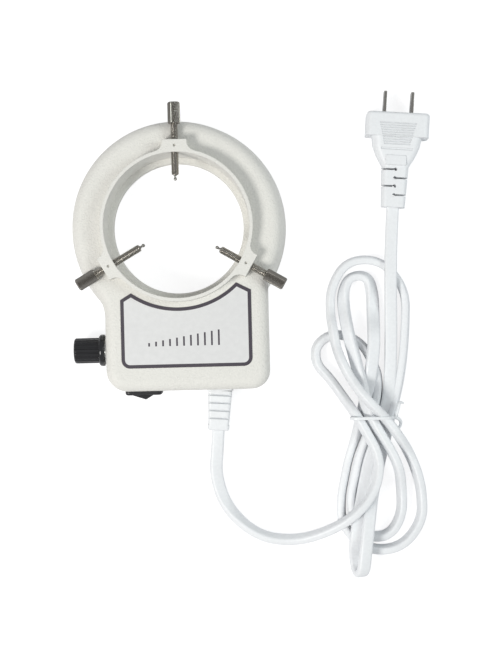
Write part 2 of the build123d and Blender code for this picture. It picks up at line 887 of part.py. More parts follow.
with BuildPart() as switch_body:
    with BuildSketch(switch_out):
        RectangleRounded(bezel_length, bezel_width, bezel_corner)
    extrude(amount=bezel_thickness)
    fillet(switch_body.edges().group_by(Axis.Y)[0], bezel_round)
    with BuildSketch(switch_out):
        Rectangle(case_length, case_width)
    extrude(amount=-case_depth)
    with BuildSketch(switch_out.offset(bezel_thickness)):
        Rectangle(well_length, well_width)
    extrude(amount=-bezel_thickness - well_depth, mode=Mode.SUBTRACT)
    with BuildSketch(
        Plane(
            origin=(switch_x, front_face + rocker_pivot_depth, switch_z),
            x_dir=(1, 0, 0),
            z_dir=(0, 0, 1),
        )
    ):
        Circle(rocker_pin_radius + rocker_pin_clearance)
    extrude(
        amount=rocker_width / 2 + rocker_pin_length + rocker_pin_clearance,
        both=True,
        mode=Mode.SUBTRACT,
    )
    with BuildSketch(switch_out.offset(-case_depth)):
        with GridLocations(tab_spacing, 0, 2, 1):
            Rectangle(tab_thickness, tab_width)
    extrude(amount=case_depth - well_depth, mode=Mode.SUBTRACT)
write(switch_body.part, "switch_body")

with BuildPart() as switch_terminals:
    with BuildSketch(switch_out.offset(-well_depth)):
        with GridLocations(tab_spacing, 0, 2, 1):
            Rectangle(tab_thickness, tab_width)
    extrude(amount=-tab_length - case_depth + well_depth)
write(switch_terminals.part, "switch_terminals")

rocker_plane = Plane(
    origin=(switch_x, front_face + rocker_pivot_depth, switch_z),
    x_dir=(
        math.cos(math.radians(rocker_rest_angle)),
        math.sin(math.radians(rocker_rest_angle)),
        0,
    ),
    z_dir=(0, 0, 1),
)
with BuildPart() as switch_rocker:
    with BuildSketch(rocker_plane):
        with BuildLine():
            Polyline(
                (-rocker_length / 2, -rocker_shoulder),
                (rocker_ridge_shift, -rocker_ridge),
                (rocker_length / 2, -rocker_shoulder),
                (rocker_length / 2, 0),
                (rocker_length * rocker_belly_share, rocker_belly),
                (-rocker_length * rocker_belly_share, rocker_belly),
                (-rocker_length / 2, 0),
                close=True,
            )
        make_face()
    extrude(amount=rocker_width / 2, both=True)
    with BuildSketch(rocker_plane):
        Circle(rocker_pin_radius)
    extrude(amount=rocker_width / 2 + rocker_pin_length, both=True)
write(switch_rocker.part, "switch_rocker")

# Strain relief: straight through the wall, then along the lean of the cord's exit
lean = math.radians(relief_lean)
relief_out = Plane(
    origin=(relief_x, front_face, relief_z),
    x_dir=(math.cos(lean), -math.sin(lean), 0),
    z_dir=(-math.sin(lean), -math.cos(lean), 0),
)
relief_wall = Plane(origin=(relief_x, front_face, relief_z), x_dir=(1, 0, 0), z_dir=(0, -1, 0))
relief_body_end = relief_length - relief_collar
with BuildPart() as strain_relief:
    with BuildSketch(relief_out.offset(relief_plate / 2 + relief_root_width / 2 * math.sin(lean))):
        RectangleRounded(relief_root_width, relief_root_height, relief_round)
    with BuildSketch(relief_out.offset(relief_body_end)):
        RectangleRounded(relief_tip_width, relief_tip_height, relief_round)
    loft()
    for place in relief_groove_places:
        narrowing = (relief_root_height - relief_tip_height) * place / relief_body_end
        half_height = (relief_root_height - narrowing) / 2
        with BuildSketch(relief_out.offset(place)):
            with Locations((0, half_height), (0, -half_height)):
                Rectangle(relief_root_width + 2 * overrun, 2 * relief_groove_depth)
        extrude(amount=relief_groove_width, mode=Mode.SUBTRACT)
    with BuildSketch(relief_out.offset(relief_body_end - relief_rim)):
        RectangleRounded(relief_tip_width + relief_rim, relief_tip_height, relief_round)
    extrude(amount=relief_collar + relief_rim)
    tip_edges = strain_relief.faces().sort_by(Axis.Y)[0].edges()
    fillet(tip_edges, relief_end_round)
    with BuildSketch(relief_wall):
        RectangleRounded(relief_root_width + 2 * relief_rim, relief_root_height, relief_round)
    extrude(amount=relief_plate)
    with BuildSketch(relief_wall):
        Rectangle(relief_neck_width, relief_neck_height)
    extrude(amount=-body_wall)
    with BuildSketch(relief_wall.offset(-body_wall)):
        Rectangle(
            relief_neck_width + 2 * relief_flange, relief_neck_height + 2 * relief_flange
        )
    extrude(amount=-relief_flange)
write(strain_relief.part, "strain_relief")


# Parts that hang from the driver board: each starts on its lower face
def below(depth):
    return Plane.XY.offset(driver_board_bottom - depth)


driver_middle = ((driver_left + driver_right) / 2, (driver_front + driver_back) / 2)
driver_spacing = (
    driver_right - driver_left - 2 * driver_hole_inset,
    driver_back - driver_front - 2 * driver_hole_inset,
)

with BuildPart() as driver_board:
    with BuildSketch(Plane.XY.offset(driver_board_bottom)):
        with Locations(driver_middle):
            Rectangle(driver_right - driver_left, driver_back - driver_front)
            with GridLocations(*driver_spacing, 2, 2):
                Circle(driver_screw_radius + driver_hole_clearance, mode=Mode.SUBTRACT)
    extrude(amount=board_thickness)
write(driver_board.part, "driver_board")

with BuildPart() as driver_board_screws:
    with BuildSketch(below(driver_screw_head)):
        with Locations(driver_middle):
            with GridLocations(*driver_spacing, 2, 2):
                Circle(driver_screw_head_radius)
    extrude(amount=driver_screw_head)
    with BuildSketch(below(0)):
        with Locations(driver_middle):
            with GridLocations(*driver_spacing, 2, 2):
                Circle(driver_screw_radius)
    extrude(amount=driver_screw_length)
write(driver_board_screws.part, "driver_board_screws")

with BuildPart() as filter_capacitor:
    with BuildSketch(below(capacitor_height)):
        with Locations(in_box(capacitor_place)):
            Circle(capacitor_radius)
    extrude(amount=capacitor_height)
    fillet(filter_capacitor.edges().group_by(Axis.Z)[0], capacitor_radius * capacitor_round_share)
write(filter_capacitor.part, "filter_capacitor")

core_middle = driver_board_bottom - core_height / 2
with BuildPart() as transformer_core:
    with Locations((*in_box(core_place), core_middle)):
        Box(core_length, core_width, core_height)
        for side in (-1, 1):
            with Locations((side * (core_length / 2 - core_leg - core_window / 2), 0, 0)):
                Box(
                    core_window,
                    core_width + overrun,
                    core_height - 2 * core_leg,
                    mode=Mode.SUBTRACT,
                )
write(transformer_core.part, "transformer_core")

core_post = core_length - 2 * core_leg - 2 * core_window
with BuildPart() as transformer_winding:
    with Locations((*in_box(core_place), core_middle)):
        Box(
            core_length - 2 * core_leg - 2 * core_gap,
            winding_width,
            core_height - 2 * core_leg - 2 * core_gap,
        )
        Box(
            core_post + 2 * core_gap,
            core_width + 2 * core_gap,
            core_height,
            mode=Mode.SUBTRACT,
        )
    winding_ends = transformer_winding.edges().filter_by(Axis.Z)
    outer_ends = winding_ends.group_by(Axis.Y)
    fillet(outer_ends[0] + outer_ends[-1], core_window / 2)
write(transformer_winding.part, "transformer_winding")

boxed_parts = (
    ("driver_chip", chip_place, chip_length, chip_width, chip_height),
    ("bridge_rectifier", bridge_place, bridge_length, bridge_width, bridge_height),
    ("film_capacitor", film_place, film_length, film_width, film_height),
)
for name, place, length, width, height in boxed_parts:
    with BuildPart() as component:
        with BuildSketch(below(height)):
            with Locations(in_box(place)):
                Rectangle(length, width)
        extrude(amount=height)
        chamfer(component.edges().group_by(Axis.Z)[0], min(length, width) / 10)
    write(component.part, name)

with BuildPart() as inductor:
    with BuildSketch(below(inductor_height)):
        with Locations(in_box(inductor_place)):
            Circle(inductor_radius)
    extrude(amount=inductor_height)
    with BuildSketch(below(inductor_height * inductor_cut_share)):
        with Locations(in_box(inductor_place)):
            Circle(inductor_radius + overrun)
            Circle(inductor_waist, mode=Mode.SUBTRACT)
    extrude(amount=inductor_height * inductor_waist_share, mode=Mode.SUBTRACT)
write(inductor.part, "inductor")

with BuildPart() as fuse:
    fuse_x, fuse_y = in_box(fuse_place)
    fuse_left = Plane(
        origin=(fuse_x - fuse_length / 2, fuse_y, driver_board_bottom - fuse_radius),
        z_dir=(1, 0, 0),
    )
    with BuildSketch(fuse_left):
        Circle(fuse_radius * fuse_glass_share)
    extrude(amount=fuse_length)
    with BuildSketch(fuse_left, fuse_left.offset(fuse_length * (1 - fuse_cap_share))):
        Circle(fuse_radius)
    extrude(amount=fuse_length * fuse_cap_share)
write(fuse.part, "fuse")


# Tubes along routes of straight runs joined by tangent arcs
def arc_radii(points, largest):
    radii = []
    for before, corner, after in zip(points, points[1:], points[2:]):
        run_in = Vector(*corner) - Vector(*before)
        run_out = Vector(*after) - Vector(*corner)
        half_turn = math.radians(run_in.get_angle(run_out)) / 2
        shorter = min(run_in.length, run_out.length)
        radii.append(min(largest, wire_run_share * shorter / math.tan(half_turn)))
    return radii


def add_tube(points, radius, radii):
    with BuildLine() as route:
        FilletPolyline(*points, radius=radii)
    path = route.wires()[0]
    with BuildSketch(Plane(origin=path @ 0, z_dir=path % 0)) as section:
        Circle(radius)
    sweep(sections=section.sketch, path=path)
    return path.length


def say_tube(name, solid, length, radius, radii):
    drawn = math.pi * radius**2 * length
    print(name, "length", round(length, 1), "volume share", round(solid.volume / drawn, 4))
    print(name, "radii", [round(r, 1) for r in radii])


def write_wires(name, routes):
    with BuildPart() as wires:
        for points in routes:
            add_tube(points, wire_radius, arc_radii(points, wire_bend))
    write(wires.part, name)


notch_height = driver_board_bottom - lamp_wire_drop
lamp_wire_y = -ring_radius - lamp_wire_start
lamp_end_y = -pocket_inner - lamp_wire_end
write_wires(
    "led_wires",
    [
        (
            (x, lamp_wire_y, driver_board_bottom),
            (x, lamp_wire_y, notch_height),
            (x, lamp_end_y, notch_height),
            (x, lamp_end_y, lamp_board_top),
        )
        for x in lamp_wire_places
    ],
)
pot_back = pot_face + pot_depth
pot_wire_height = dimmer_z + pot_wire_lift
write_wires(
    "pot_wires",
    [
        (
            (pot_back, -ring_radius - start, pot_wire_height),
            (pot_wire_turn, -ring_radius - start, pot_wire_height),
            (pot_wire_rise, -ring_radius - end, pot_wire_height),
            (pot_wire_rise, -ring_radius - end, driver_board_bottom),
        )
        for start, end in zip(pot_wire_starts, pot_wire_ends)
    ],
)
aisle_y = -ring_radius - mains_aisle
live_y = -ring_radius - live_back
switched_y = -ring_radius - switched_back
relief_inner = front_face + body_wall + relief_flange
live_tab = switch_x + tab_spacing / 2 + tab_thickness / 2
switched_tab = switch_x - tab_spacing / 2 + tab_thickness / 2
write_wires(
    "mains_wires",
    [
        (
            (live_start, relief_inner, live_height),
            (live_start, aisle_y, live_height),
            (live_turn, aisle_y, live_height),
            (live_turn, live_y, live_height),
            (live_turn, live_y, tab_wire_height),
            (live_tab, live_y, tab_wire_height),
        ),
        (
            (neutral_start, relief_inner, neutral_height),
            (neutral_start, aisle_y, neutral_height),
            (neutral_rise, aisle_y, neutral_height),
            (neutral_rise, aisle_y, driver_board_bottom),
        ),
        (
            (switched_tab, switched_y, tab_wire_height),
            (switched_turn, switched_y, tab_wire_height),
            (switched_turn, switched_y, switched_height),
            (*in_box(switched_end), switched_height),
            (*in_box(switched_end), driver_board_bottom),
        ),
    ],
)

# Cord from the strain relief to the hank, which it meets in line
def heading(degrees):
    return Vector(math.cos(math.radians(degrees)), math.sin(math.radians(degrees)), 0)


hank_places = [
    (Vector(hank_x + across, hank_y + along, height), heading(degrees))
    for across, along, height, degrees in hank_turns
]
first_place, first_way = hank_places[0]
last_place, last_way = hank_places[-1]
hank_start = first_place - first_way * hank_end
hank_out = last_place + last_way * hank_end
light_run_points = (
    (*relief_tip, relief_z),
    *light_end_points,
    tuple(hank_start - first_way * hank_lead),
    tuple(hank_start),
)
light_radii = arc_radii(light_run_points, math.inf)
with BuildPart() as cord_light_run:
    light_length = add_tube(light_run_points, cord_radius, light_radii)
write(cord_light_run.part, "cord_light_run")
say_tube("cord_light_run", cord_light_run.part, light_length, cord_radius, light_radii)


# Hank: every quarter turn is a pair of tangent arcs between two places with their headings
def arc_pair(start, start_way, end, end_way):
    chord = end - start
    way_sum = start_way + end_way
    square = 2 * (1 - start_way.dot(end_way))
    linear = 2 * chord.dot(way_sum)
    constant = -chord.dot(chord)
    if square < parallel_share:
        reach = -constant / linear
    else:
        root = math.sqrt(linear**2 - 4 * square * constant)
        reach = (root - linear) / (2 * square)
    first = start + start_way * reach
    second = end - end_way * reach
    return (first + second) / 2, (second - first).normalized()


def arc_samples(start, way, end, step):
    chord = end - start
    half = math.acos(min(1, chord.dot(way) / chord.length))
    radius = chord.length / (2 * math.sin(half))
    side = (chord - way * chord.dot(way)).normalized()
    count = max(2, round(2 * half * radius / step))
    samples = []
    for index in range(1, count + 1):
        turned = 2 * half * index / count
        samples.append(
            start + way * (radius * math.sin(turned)) + side * (radius * (1 - math.cos(turned)))
        )
    return samples, radius


hank_samples = []
hank_radii = []
with BuildPart() as cord_hank:
    with BuildLine() as hank_route:
        Line(hank_start, first_place)
        for (start, start_way), (end, end_way) in zip(hank_places, hank_places[1:]):
            joint, joint_way = arc_pair(start, start_way, end, end_way)
            TangentArc(start, joint, tangent=start_way)
            TangentArc(joint, end, tangent=joint_way)
            for arc_start, arc_way, arc_end in (
                (start, start_way, joint),
                (joint, joint_way, end),
            ):
                samples, radius = arc_samples(arc_start, arc_way, arc_end, cord_radius / 2)
                hank_samples += samples
                hank_radii.append(radius)
        Line(last_place, hank_out)
    hank_path = hank_route.wires()[0]
    with BuildSketch(Plane(origin=hank_path @ 0, z_dir=hank_path % 0)) as hank_section:
        Circle(cord_radius)
    sweep(sections=hank_section.sketch, path=hank_path)
write(cord_hank.part, "cord_hank")
hank_length = hank_path.length
say_tube("cord_hank", cord_hank.part, hank_length, cord_radius, hank_radii)

# Least gap between strands of the hank, leaving out points near along the cord
apart = round(strand_apart * cord_radius / (cord_radius / 2))
least_gap = min(
    (hank_samples[a] - hank_samples[b]).length - 2 * cord_radius
    for a in range(len(hank_samples))
    for b in range(a + apart, len(hank_samples))
)
print("cord_hank least gap to itself", round(least_gap, 2))

# Cord from the hank's waist to the plug
plug_height = plug_head_thickness / 2
plug_points = (
    tuple(hank_out),
    tuple(hank_out + last_way * hank_lead),
    *plug_run_points,
    (plug_x, plug_y, plug_height),
)
plug_radii = arc_radii(plug_points, math.inf)
with BuildPart() as cord_plug_run:
    plug_run_length = add_tube(plug_points, cord_radius, plug_radii)
write(cord_plug_run.part, "cord_plug_run")
say_tube("cord_plug_run", cord_plug_run.part, plug_run_length, cord_radius, plug_radii)
print("cord total", round(light_length + hank_length + plug_run_length, 1))

# Tie: one loop of wire round the waist and its two tails
with BuildPart() as hank_tie:
    loop_points = [(hank_x + across, hank_y, height) for across, height in tie_outline]
    with BuildLine() as loop_route:
        FilletPolyline(*loop_points, radius=tie_bend, close=True)
    loop_path = loop_route.wires()[0]
    with BuildSketch(Plane(origin=loop_path @ 0, z_dir=loop_path % 0)) as loop_section:
        Circle(tie_radius)
    sweep(sections=loop_section.sketch, path=loop_path)
    for tail in tie_tails:
        tail_points = [(hank_x + x, hank_y + y, z) for x, y, z in tail]
        add_tube(tail_points, tie_radius, arc_radii(tail_points, tie_bend))
write(hank_tie.part, "hank_tie")

# Plug: moulded body on the cord's heading, with two flat blades
plug_turn = math.radians(plug_lean)
plug_plane = Plane(
    origin=(plug_x, plug_y, plug_height),
    x_dir=(-math.cos(plug_turn), math.sin(plug_turn), 0),
    z_dir=(math.sin(plug_turn), math.cos(plug_turn), 0),
)


def plug_half_thickness(place):
    for (near, _, thick, _), (far, _, far_thick, _) in zip(plug_sections, plug_sections[1:]):
        if place < far:
            return (thick + (far_thick - thick) * (place - near) / (far - near)) / 2
    return plug_head_thickness / 2


with BuildPart() as plug_body:
    for (near, width, thick, corner), (far, far_width, far_thick, far_corner) in zip(
        plug_sections, plug_sections[1:]
    ):
        with BuildSketch(plug_plane.offset(near)):
            RectangleRounded(width, thick, corner)
        with BuildSketch(plug_plane.offset(far)):
            RectangleRounded(far_width, far_thick, far_corner)
        loft(ruled=True)
    with BuildSketch(plug_plane.offset(plug_length - plug_head_length)):
        RectangleRounded(plug_head_width, plug_head_thickness, plug_head_round)
    extrude(amount=plug_head_length)
    fillet(plug_body.faces().sort_by(Axis.Y)[-1].edges(), plug_end_round)
    pad_half = plug_half_thickness(plug_pad_start + plug_pad_length) + plug_pad_lift
    with BuildSketch(plug_plane.offset(plug_pad_start)):
        Rectangle(plug_pad_width, 2 * pad_half)
    extrude(amount=plug_pad_length)
    for index, place in enumerate(plug_slot_places):
        side = 1 if index % 2 else -1
        with BuildSketch(plug_plane.offset(place)):
            with Locations((side * plug_head_width / 4, 0)):
                Rectangle(plug_head_width / 2, plug_head_thickness)
        extrude(amount=plug_slot_width, mode=Mode.SUBTRACT)
        hole_middle = plug_plane.offset(place + plug_slot_width / 2).origin
        with BuildSketch(
            Plane(origin=hole_middle, x_dir=plug_plane.x_dir, z_dir=plug_plane.y_dir)
        ):
            Circle(plug_slot_hole)
        extrude(amount=plug_head_thickness / 2, both=True, mode=Mode.SUBTRACT)
    grooves = [(plug_groove_place, plug_groove_span, plug_groove_width)]
    for index in range(plug_rib_count):
        rib_place = plug_rib_first - plug_rib_pitch * index
        rib_span = plug_rib_span - plug_rib_narrowing * index
        grooves.append((rib_place, rib_span, plug_rib_width))
    for place, span, width in grooves:
        half_thickness = plug_half_thickness(place)
        with BuildSketch(plug_plane.offset(place)):
            with Locations((0, half_thickness), (0, -half_thickness)):
                Rectangle(span, 2 * plug_rib_depth)
        extrude(amount=width, mode=Mode.SUBTRACT)
    with BuildSketch(plug_plane.offset(plug_length - blade_root)):
        with GridLocations(blade_spacing, 0, 2, 1):
            Rectangle(blade_thickness, blade_width)
    extrude(amount=blade_root, mode=Mode.SUBTRACT)
write(plug_body.part, "plug_body")

with BuildPart() as plug_blades:
    with BuildSketch(plug_plane.offset(plug_length - blade_root)):
        with GridLocations(blade_spacing, 0, 2, 1):
            Rectangle(blade_thickness, blade_width)
    extrude(amount=blade_root + blade_reach)
    blade_tips = plug_blades.faces().sort_by(Axis.Y)[-2:]
    chamfer(blade_tips.edges().filter_by(lambda e: e.length < blade_width), blade_chamfer)
write(plug_blades.part, "plug_blades")
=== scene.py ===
import math

import bmesh
import bpy
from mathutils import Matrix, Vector


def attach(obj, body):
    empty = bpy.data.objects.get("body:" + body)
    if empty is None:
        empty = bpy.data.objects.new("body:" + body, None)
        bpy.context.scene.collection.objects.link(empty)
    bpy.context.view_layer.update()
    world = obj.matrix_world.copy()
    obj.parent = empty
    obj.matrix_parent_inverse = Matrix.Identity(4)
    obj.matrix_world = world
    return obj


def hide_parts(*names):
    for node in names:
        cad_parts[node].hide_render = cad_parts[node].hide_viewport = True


bl_info = {
    "name": "Ring light",
    "version": (1, 0, 0),
    "blender": (4, 5, 0),
    "location": "View3D > Sidebar > Ring light",
    "description": "Makes the looks of a microscope ring light round its packed frame",
    "category": "Object",
}

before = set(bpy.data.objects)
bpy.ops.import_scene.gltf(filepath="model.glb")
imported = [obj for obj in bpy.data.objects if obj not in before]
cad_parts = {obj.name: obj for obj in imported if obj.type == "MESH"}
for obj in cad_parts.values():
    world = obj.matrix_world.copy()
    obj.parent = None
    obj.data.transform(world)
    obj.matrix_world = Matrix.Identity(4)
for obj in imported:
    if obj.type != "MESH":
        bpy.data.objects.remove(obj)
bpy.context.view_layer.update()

MM = 0.001
SCREW_NAMES = ("top", "left", "right")
SCREW_ANGLES = (90, 210, 330)
# How far each thumbscrew is screwed in past the others
SCREWED_IN = (0.0, 0.0034, 0.0)
# Along each screw's axis, from the bore's middle
HEAD_START = 46.2 * MM
SHANK_START = 22.9 * MM
# Divisions round and along the head and the shank
HEAD_DIVISIONS = (104, 60)
SHANK_DIVISIONS = (28, 266)

# Cord route in metres: the control points of one smooth line from the strain relief to the plug
CORD_EXIT = (0.01641, -0.09493, 0.0070)
CORD_TO_HANK = (
    (0.0158, -0.1033, 0.0070),
    (0.0144, -0.1165, 0.0038),
    (0.0195, -0.1325, 0.0030),
    (0.0340, -0.1458, 0.0030),
    (0.0515, -0.1482, 0.0036),
    (0.0665, -0.1435, 0.0091),
    (0.0790, -0.1360, 0.0135),
    (0.0880, -0.1260, 0.0118),
    (0.0913, -0.1148, 0.0100),
    (0.0899, -0.1062, 0.0097),
    (0.0862, -0.0991, 0.0097),
)
CORD_HANK = (
    (0.0812, -0.0898, 0.0097),
    (0.0750, -0.0805, 0.0030),
    (0.0690, -0.0717, 0.0030),
    (0.0631, -0.0655, 0.0030),
    (0.0627, -0.0572, 0.0030),
    (0.0689, -0.0518, 0.0030),
    (0.0775, -0.0518, 0.0030),
    (0.0852, -0.0566, 0.0030),
    (0.0889, -0.0637, 0.0030),
    (0.0919, -0.0700, 0.0030),
    (0.0922, -0.0789, 0.0030),
    (0.0895, -0.0893, 0.0044),
    (0.0861, -0.0996, 0.0044),
    (0.0822, -0.1097, 0.0030),
    (0.0801, -0.1190, 0.0030),
    (0.0782, -0.1269, 0.0030),
    (0.0782, -0.1368, 0.0030),
    (0.0840, -0.1470, 0.0030),
    (0.0957, -0.1470, 0.0030),
    (0.1018, -0.1369, 0.0030),
    (0.1018, -0.1252, 0.0030),
    (0.1006, -0.1148, 0.0087),
    (0.0965, -0.1057, 0.0087),
    (0.0921, -0.0987, 0.0097),
    (0.0877, -0.0914, 0.0097),
    (0.0852, -0.0829, 0.0089),
    (0.0833, -0.0731, 0.0089),
    (0.0809, -0.0623, 0.0082),
    (0.0790, -0.0548, 0.0082),
    (0.0775, -0.0473, 0.0081),
    (0.0766, -0.0387, 0.0030),
    (0.0766, -0.0311, 0.0030),
    (0.0799, -0.0242, 0.0030),
    (0.0885, -0.0242, 0.0030),
    (0.0904, -0.0333, 0.0030),
    (0.0904, -0.0428, 0.0030),
    (0.0902, -0.0512, 0.0082),
    (0.0899, -0.0590, 0.0082),
    (0.0886, -0.0682, 0.0082),
    (0.0866, -0.0801, 0.0032),
    (0.0838, -0.0907, 0.0044),
    (0.0811, -0.0994, 0.0044),
    (0.0773, -0.1097, 0.0030),
    (0.0751, -0.1195, 0.0030),
    (0.0732, -0.1284, 0.0030),
    (0.0732, -0.1412, 0.0030),
    (0.0842, -0.1532, 0.0030),
    (0.1007, -0.1532, 0.0030),
    (0.1113, -0.1403, 0.0030),
    (0.1113, -0.1268, 0.0030),
    (0.1092, -0.1168, 0.0041),
    (0.1052, -0.1068, 0.0041),
    (0.1001, -0.0990, 0.0110),
    (0.0944, -0.0911, 0.0110),
    (0.0889, -0.0857, 0.0144),
    (0.0832, -0.0792, 0.0144),
    (0.0784, -0.0721, 0.0113),
    (0.0746, -0.0643, 0.0113),
    (0.0722, -0.0570, 0.0082),
    (0.0710, -0.0487, 0.0082),
    (0.0702, -0.0414, 0.0030),
    (0.0707, -0.0295, 0.0030),
    (0.0785, -0.0168, 0.0030),
    (0.0950, -0.0168, 0.0030),
    (0.1061, -0.0310, 0.0030),
    (0.1055, -0.0483, 0.0030),
    (0.1039, -0.0648, 0.0030),
    (0.1012, -0.0788, 0.0030),
    (0.0978, -0.0895, 0.0044),
    (0.0954, -0.0995, 0.0044),
    (0.0922, -0.1096, 0.0030),
    (0.0898, -0.1195, 0.0030),
    (0.0876, -0.1280, 0.0056),
    (0.0858, -0.1374, 0.0108),
    (0.0844, -0.1475, 0.0120),
    (0.0834, -0.1553, 0.0114),
    (0.0826, -0.1618, 0.0106),
    (0.0813, -0.1642, 0.0065),
    (0.0800, -0.1618, 0.0026),
    (0.0793, -0.1556, 0.0026),
    (0.0792, -0.1482, 0.0086),
    (0.0806, -0.1395, 0.0086),
    (0.0828, -0.1295, 0.0038),
    (0.0850, -0.1188, 0.0030),
    (0.0872, -0.1097, 0.0030),
    (0.0913, -0.0996, 0.0044),
)
CORD_TO_PLUG = (
    (0.0941, -0.0904, 0.0044),
    (0.0964, -0.0827, 0.0044),
    (0.0978, -0.0715, 0.0038),
    (0.0985, -0.0520, 0.0050),
    (0.0985, -0.0300, 0.0078),
    (0.0993, -0.0085, 0.0065),
)
CORD_END = (0.1005, 0.0072, 0.0065)
# By control point, how far the cord's wide side is tipped up from lying flat, in degrees
CORD_LAY = (
    (0, 0),
    (2, 15),
    (4, 62),
    (8, 76),
    (20, 75),
    (34, 75),
    (38, 36),
    (42, 40),
    (44, 75),
    (47, 14),
    (51, 14),
    (54, 75),
    (70, 75),
    (80, 75),
    (84, 6),
    (96, 6),
    (104, 0),
)
# The tie's outline from the waist's middle: across and height
TIE_PLACE = (0.0897, -0.0908)
TIE_OUTLINE = (
    (-0.0076, 0.0007),
    (0.0108, 0.0007),
    (0.0108, 0.0066),
    (0.0062, 0.0158),
    (-0.0110, 0.0132),
    (-0.0118, 0.0080),
)
# The tie's two tails from the same middle: across, along and height
TIE_TAILS = (
    (
        (0.0090, 0.0, 0.0104),
        (0.0104, 0.0026, 0.0118),
        (0.0112, 0.0078, 0.0120),
        (0.0130, 0.0066, 0.0106),
    ),
    (
        (0.0090, 0.0, 0.0104),
        (0.0116, -0.0006, 0.0096),
        (0.0122, -0.0040, 0.0082),
        (0.0104, -0.0056, 0.0082),
    ),
)
TIE_ROUNDING = 1.6 * MM
TIE_WIDTH = 1.5 * MM
TIE_THICKNESS = 0.9 * MM
TIE_CORNER = 0.4 * MM
# Points read from a smooth line for each of its control points
CORD_STEPS = 14
TIE_STEPS = 8
# Points on a line that are nearer to each other than this count as one
DOUBLED = 1e-7

# Label: the film's top, the ink on it and the outline on the deck
LABEL_TOP = 21.75 * MM
INK_THICKNESS = 0.02 * MM
LABEL_ARC = 37.4 * MM
LABEL_LEFT = -26.8 * MM
LABEL_RIGHT = 33.2 * MM
LABEL_FRONT = -64.9 * MM
LABEL_CORNER = 4.0 * MM
LABEL_PEAKS = ((-21.8 * MM, -30.4 * MM), (26.4 * MM, -26.5 * MM))
LABEL_SHOULDERS = ((LABEL_LEFT, -33.4 * MM), (LABEL_RIGHT, -30.0 * MM))
ARC_STEPS = 48
CORNER_STEPS = 12
# Plain scale of rising strokes on the label
STROKES = 11
STROKE_PITCH = 3.2 * MM
STROKE_WIDTH = 0.8 * MM
STROKE_MIDDLE = 2.0 * MM
STROKE_FOOT = -55.0 * MM
SHORTEST_STROKE = 1.6 * MM
STROKE_RISE = 0.55 * MM
BOX_FACES = (
    (3, 2, 1, 0),
    (4, 5, 6, 7),
    (0, 1, 5, 4),
    (1, 2, 6, 5),
    (2, 3, 7, 6),
    (3, 0, 4, 7),
)

# Camera: focal length and picture height in pixels, place over the table and roll in degrees
FOCAL_PIXELS = 1438.0
PICTURE_HEIGHT = 666.0
SENSOR = 36.0
CAMERA_PLACE = (0.0323, -0.0499)
CAMERA_ROLL = -1.4
FLOOR_HALF = 3.0
# Where both lamps point
LAMP_AIM = (0.03, -0.05, 0.0)
FILL_SHARE = 0.4

# Colours and line directions that several finishes use
ZINC = (0.62, 0.62, 0.60)
WORN_ZINC = (0.8, 0.8, 0.78)
ALONG_X = (0.1, 1.0, 1.0)
ALONG_Y = (1.0, 0.1, 1.0)
ALONG_Z = (1.0, 1.0, 0.1)
EVEN = (1.0, 1.0, 1.0)


# ---- node helpers


def add_node(tree, kind, inputs=None, **attributes):
    """Adds a node, sets its attributes, and sets or links its inputs by name or number."""
    made = tree.nodes.new(kind)
    for name, value in attributes.items():
        setattr(made, name, value)
    for name, value in (inputs or {}).items():
        if isinstance(value, bpy.types.NodeSocket):
            tree.links.new(value, made.inputs[name])
        else:
            made.inputs[name].default_value = value
    return made


def feed(tree, node, **sockets):
    """Links sockets to a node's inputs by name, with an underscore for a space."""
    for label, socket in sockets.items():
        tree.links.new(socket, node.inputs[label.replace("_", " ")])


def maths(tree, operation, *values, **attributes):
    inputs = dict(enumerate(values))
    return add_node(tree, "ShaderNodeMath", inputs, operation=operation, **attributes).outputs[0]


def vector_maths(tree, operation, first, second):
    inputs = {0: first, 1: second}
    return add_node(tree, "ShaderNodeVectorMath", inputs, operation=operation).outputs


def upward(tree, height):
    """The vector along Z of a height, or the turn about Z by an angle."""
    return add_node(tree, "ShaderNodeCombineXYZ", {"Z": height}).outputs[0]


def mix_colour(tree, factor, first, second, blend="MIX"):
    """Mixes two colours, each of them three numbers or a socket."""
    first, second = ((*c, 1.0) if isinstance(c, tuple) else c for c in (first, second))
    inputs = {0: factor, 6: first, 7: second}
    return add_node(
        tree, "ShaderNodeMix", inputs, data_type="RGBA", blend_type=blend
    ).outputs[2]


def object_place(tree):
    return add_node(tree, "ShaderNodeTexCoord").outputs["Object"]


def noise(tree, place, scale, detail):
    inputs = {"Vector": place, "Scale": scale, "Detail": detail}
    return add_node(tree, "ShaderNodeTexNoise", inputs).outputs["Fac"]


def new_group(name, kind, inputs, outputs):
    """A node group with named sockets: name, socket type and default for each input."""
    group = bpy.data.node_groups.new(name, kind)
    for label, socket_type, default in inputs:
        socket = group.interface.new_socket(label, in_out="INPUT", socket_type=socket_type)
        if default is not None:
            socket.default_value = default
    for label, socket_type in outputs:
        group.interface.new_socket(label, in_out="OUTPUT", socket_type=socket_type)
    return group, group.nodes.new("NodeGroupInput"), group.nodes.new("NodeGroupOutput")


def built_once(build):
    """Builds a shader group where it is first asked for, and finds it again after that."""

    def ask():
        return bpy.data.node_groups.get(build.__name__) or build(build.__name__)

    return ask


def place_group(tree, group, inputs):
    return add_node(tree, "ShaderNodeGroup", inputs, node_tree=group).outputs


# ---- effects shared by several finishes


